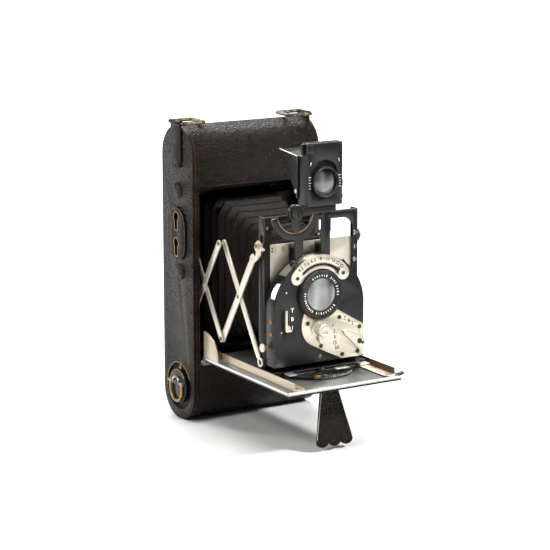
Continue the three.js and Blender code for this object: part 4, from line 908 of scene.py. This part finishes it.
# ---------------------------------------------------------------- finder
def finder_trim():
    f = Box("finder_body")
    face = -f.y0
    lens = Box("finder_lens")
    mount = Box("finder_lens_mount")
    u, v = lens.x, lens.z
    rim = lathe([(6.3, -0.4), (6.95, -0.4), (7.35, 0.5), (7.35, 1.5), (7.15, 1.75), (6.85, 1.75), (6.5, 0.9), (6.3, 0.6)],
                "front", u, v, -mount.y0 - 0.9, 72)
    place("finder_lens_rim", rim, ENAMEL_WORN, "finder_lens_mount")
    blocks = [sheet([rect(f.x0 - 0.05, f.x0 + 2.9, f.z1 - 4.6, f.z1 - 0.4)], "front", face - 0.3, 0.9, 0.2),
              sheet([rect(-0.7, 0.7, 0, 5.2)], "front", 0, 1.6, 0.2)]
    blocks[1].transform(Matrix.Translation((f.x0 - 0.65, f.y0 + 4.4, f.z1 - 5.4)))
    place("finder_catch_blocks", joined("blocks", blocks), ENAMEL, "finder_body")
    cap = sheet([rect(f.x0 + 0.2, f.x1 - 0.2, f.y0 + 0.25, f.y0 + 5.1),
                 rect(f.x0 + 2.6, f.x1 - 2.6, f.y0 + 2.0, f.y0 + 3.9)], "top", f.z1 - 0.02, 0.35, 0.1)
    place("finder_top_plate", cap, ENAMEL_WORN, "finder_body")
    marks = []
    for x, z, turn in ((f.x0 + 1.7, f.z0 + 20.6, 0.2), (f.x1 - 2.0, f.z0 + 21.6, -0.2)):
        marks.append(sheet([rect(-0.16, 0.16, -0.8, 0.8)], "front", face, 0.06))
        marks[-1].transform(Matrix.Translation((x, 0, z)) @ Matrix.Rotation(turn, 4, "Y"))
    for side, x in ((-1, f.x0 + 1.2), (1, f.x1 - 1.6)):
        for k, w in ((0, 0.7), (1, 0.45), (2, 0.7), (3, 0.45), (4, 0.6)):
            marks.append(sheet([rect(x - w, x + w, v + 2.6 - 1.35 * k, v + 2.85 - 1.35 * k)], "front", face, 0.06))
    place("finder_marks", joined("marks", marks), WHITE, "finder_body")
    tabs = [sheet([rect(f.y0 + 0.6, f.y0 + 2.6, 51.5, 54.5), rect(f.y0 + 0.6, f.y0 + 2.2, 45.4, 47.2)],
                  "right", f.x1 - 0.1, 0.9, 0.2)]
    place("finder_side_tabs", joined("tabs", tabs), ENAMEL, "finder_body")
    hood = Box("finder_hood")
    pin = screw(-(hood.y0 + 1.6), hood.z0 + 3.2, 1.0, "left", -hood.x0 - 0.02, 0.35, 0.3)
    pin += screw(hood.y0 + 1.6, hood.z0 + 3.2, 1.0, "right", hood.x1 - 0.02, 0.35, 0.3)
    place("hood_pivot_screws", joined("pin", pin), NICKEL, "finder_hood")
    edge = []
    for x in (hood.x0 + 0.3, hood.x1 - 0.3):
        edge.append(wire([(x, hood.y0 + 0.9, 66.15), (x, hood.y1 - 0.2, hood.z1 - 0.05)], 0.24))
    place("hood_edge", joined("edge", edge), NICKEL, "finder_hood")
    mirror = sheet([[(f.x0 + 0.4, 0.6), (f.x1 - 0.4, 0.6), (f.x1 - 0.4, 19.5), (f.x0 + 0.4, 19.5)]], "top", 0.02, 0.25, 0.05)
    tilt = math.atan2(67 - 50.6, -66 + 79.1)
    mirror.transform(Matrix.Translation((0, -79.65, 50.9)) @ Matrix.Rotation(tilt, 4, "X") @ Matrix.Translation((0, 0, 0.1)))
    place("finder_mirror", mirror, MIRROR, "finder_hood")

    bracket = Box("finder_bracket")
    pivot = next(j for j in frame["joints"] if j["name"] == "finder_swing")["pos_m"]
    px, pz = pivot[0] / MM, pivot[2] / MM
    line = sheet([band(px, pz, 9.75, 10.25, 196, 352)], "front", 88.86, 0.14, 0.03)
    place("bracket_copper_line", line, COPPER, "finder_bracket")
    arm = Box("finder_arm")
    head = lathe([(3.15, 0), (3.7, 0), (3.75, 0.3), (3.5, 0.45), (3.2, 0.35)], "front", px, pz, -arm.y0 - 0.03, 56)
    place("finder_pivot_washer", head, ENAMEL_WORN, "finder_arm")


# ---------------------------------------------------------------- tongs
def tong_trim():
    for tag, s, facing in (("left", -1, "left"), ("right", 1, "right")):
        pivots = {j["name"]: Vector(j["pos_m"]) / MM for j in frame["joints"] if j["name"].startswith("tong_")
                  and j["name"].endswith(tag) and "pos_m" in j}
        spots = (
            ("tong_front_rising", pivots[f"tong_crossing_{tag}"], 28.9, 1.05, 0.5),
            ("tong_front_rising", pivots[f"tong_lower_node_{tag}"], 29.9, 1.1, 0.45),
            ("tong_rear_rising", pivots[f"tong_upper_node_{tag}"], 30.9, 1.1, 0.45),
        )
        by_node = {}
        for stem, p, x, r, high in spots:
            u = -p.y if s < 0 else p.y
            by_node.setdefault(stem, []).append(
                lathe([(0, 0), (r, 0), (r * 0.85, high * 0.6), (r * 0.45, high), (0, high)], facing, u, p.z, x, 20))
        for stem, meshes in by_node.items():
            place(f"{stem}_rivets_{tag}", joined("rivets", meshes), RUST, f"{stem}_{tag}")
        stud = Box(f"tong_stud_{tag}")
        u = -stud.y if s < 0 else stud.y
        outer = max(abs(stud.x0), abs(stud.x1))
        eye = lathe([(0, 0), (1.25, 0), (1.15, 0.25), (0.5, 0.4), (0, 0.4)], facing, u, stud.z, outer - 0.05, 20)
        place(f"tong_stud_head_{tag}", eye, RUST, f"tong_stud_{tag}")


# ---------------------------------------------------------------- the back
def back_trim():
    window = Box("red_window")
    cover = Box("back_cover")
    ring = lathe([(3.45, 0), (4.6, 0), (4.6, 0.3), (4.3, 0.45), (3.6, 0.45), (3.45, 0.3)], "back", -window.x, window.z,
                 cover.y1 - 0.02, 56)
    place("red_window_ring", ring, BRASS, "back_cover")
    latch = Box("back_latch")
    ribs = [sheet([rect(-latch.x - 1.6 + i * 0.8, -latch.x - 1.2 + i * 0.8, latch.z0 + 0.5, latch.z1 - 0.5)], "back",
                  latch.y1 - 0.02, 0.3, 0.08) for i in range(5)]
    place("back_latch_ribs", joined("ribs", ribs), NICKEL, "back_latch")
    stitch = []
    x, z = cover.x1 - 2, cover.z1 - 2
    stitch.append(sheet([rect(-x, x, -z, z), rect(-x + 0.35, x - 0.35, -z + 0.35, z - 0.35)], "back", cover.y1 - 0.02, 0.16,
                        0.05))
    place("back_border_line", joined("border", stitch), LEATHER, "back_cover")


case_trim()
winder_trim()
bellows()
bed_trim()
foot_trim()
carriage_trim()
standard_trim()
housing_trim()
finder_trim()
tong_trim()
back_trim()
camera()
studio()
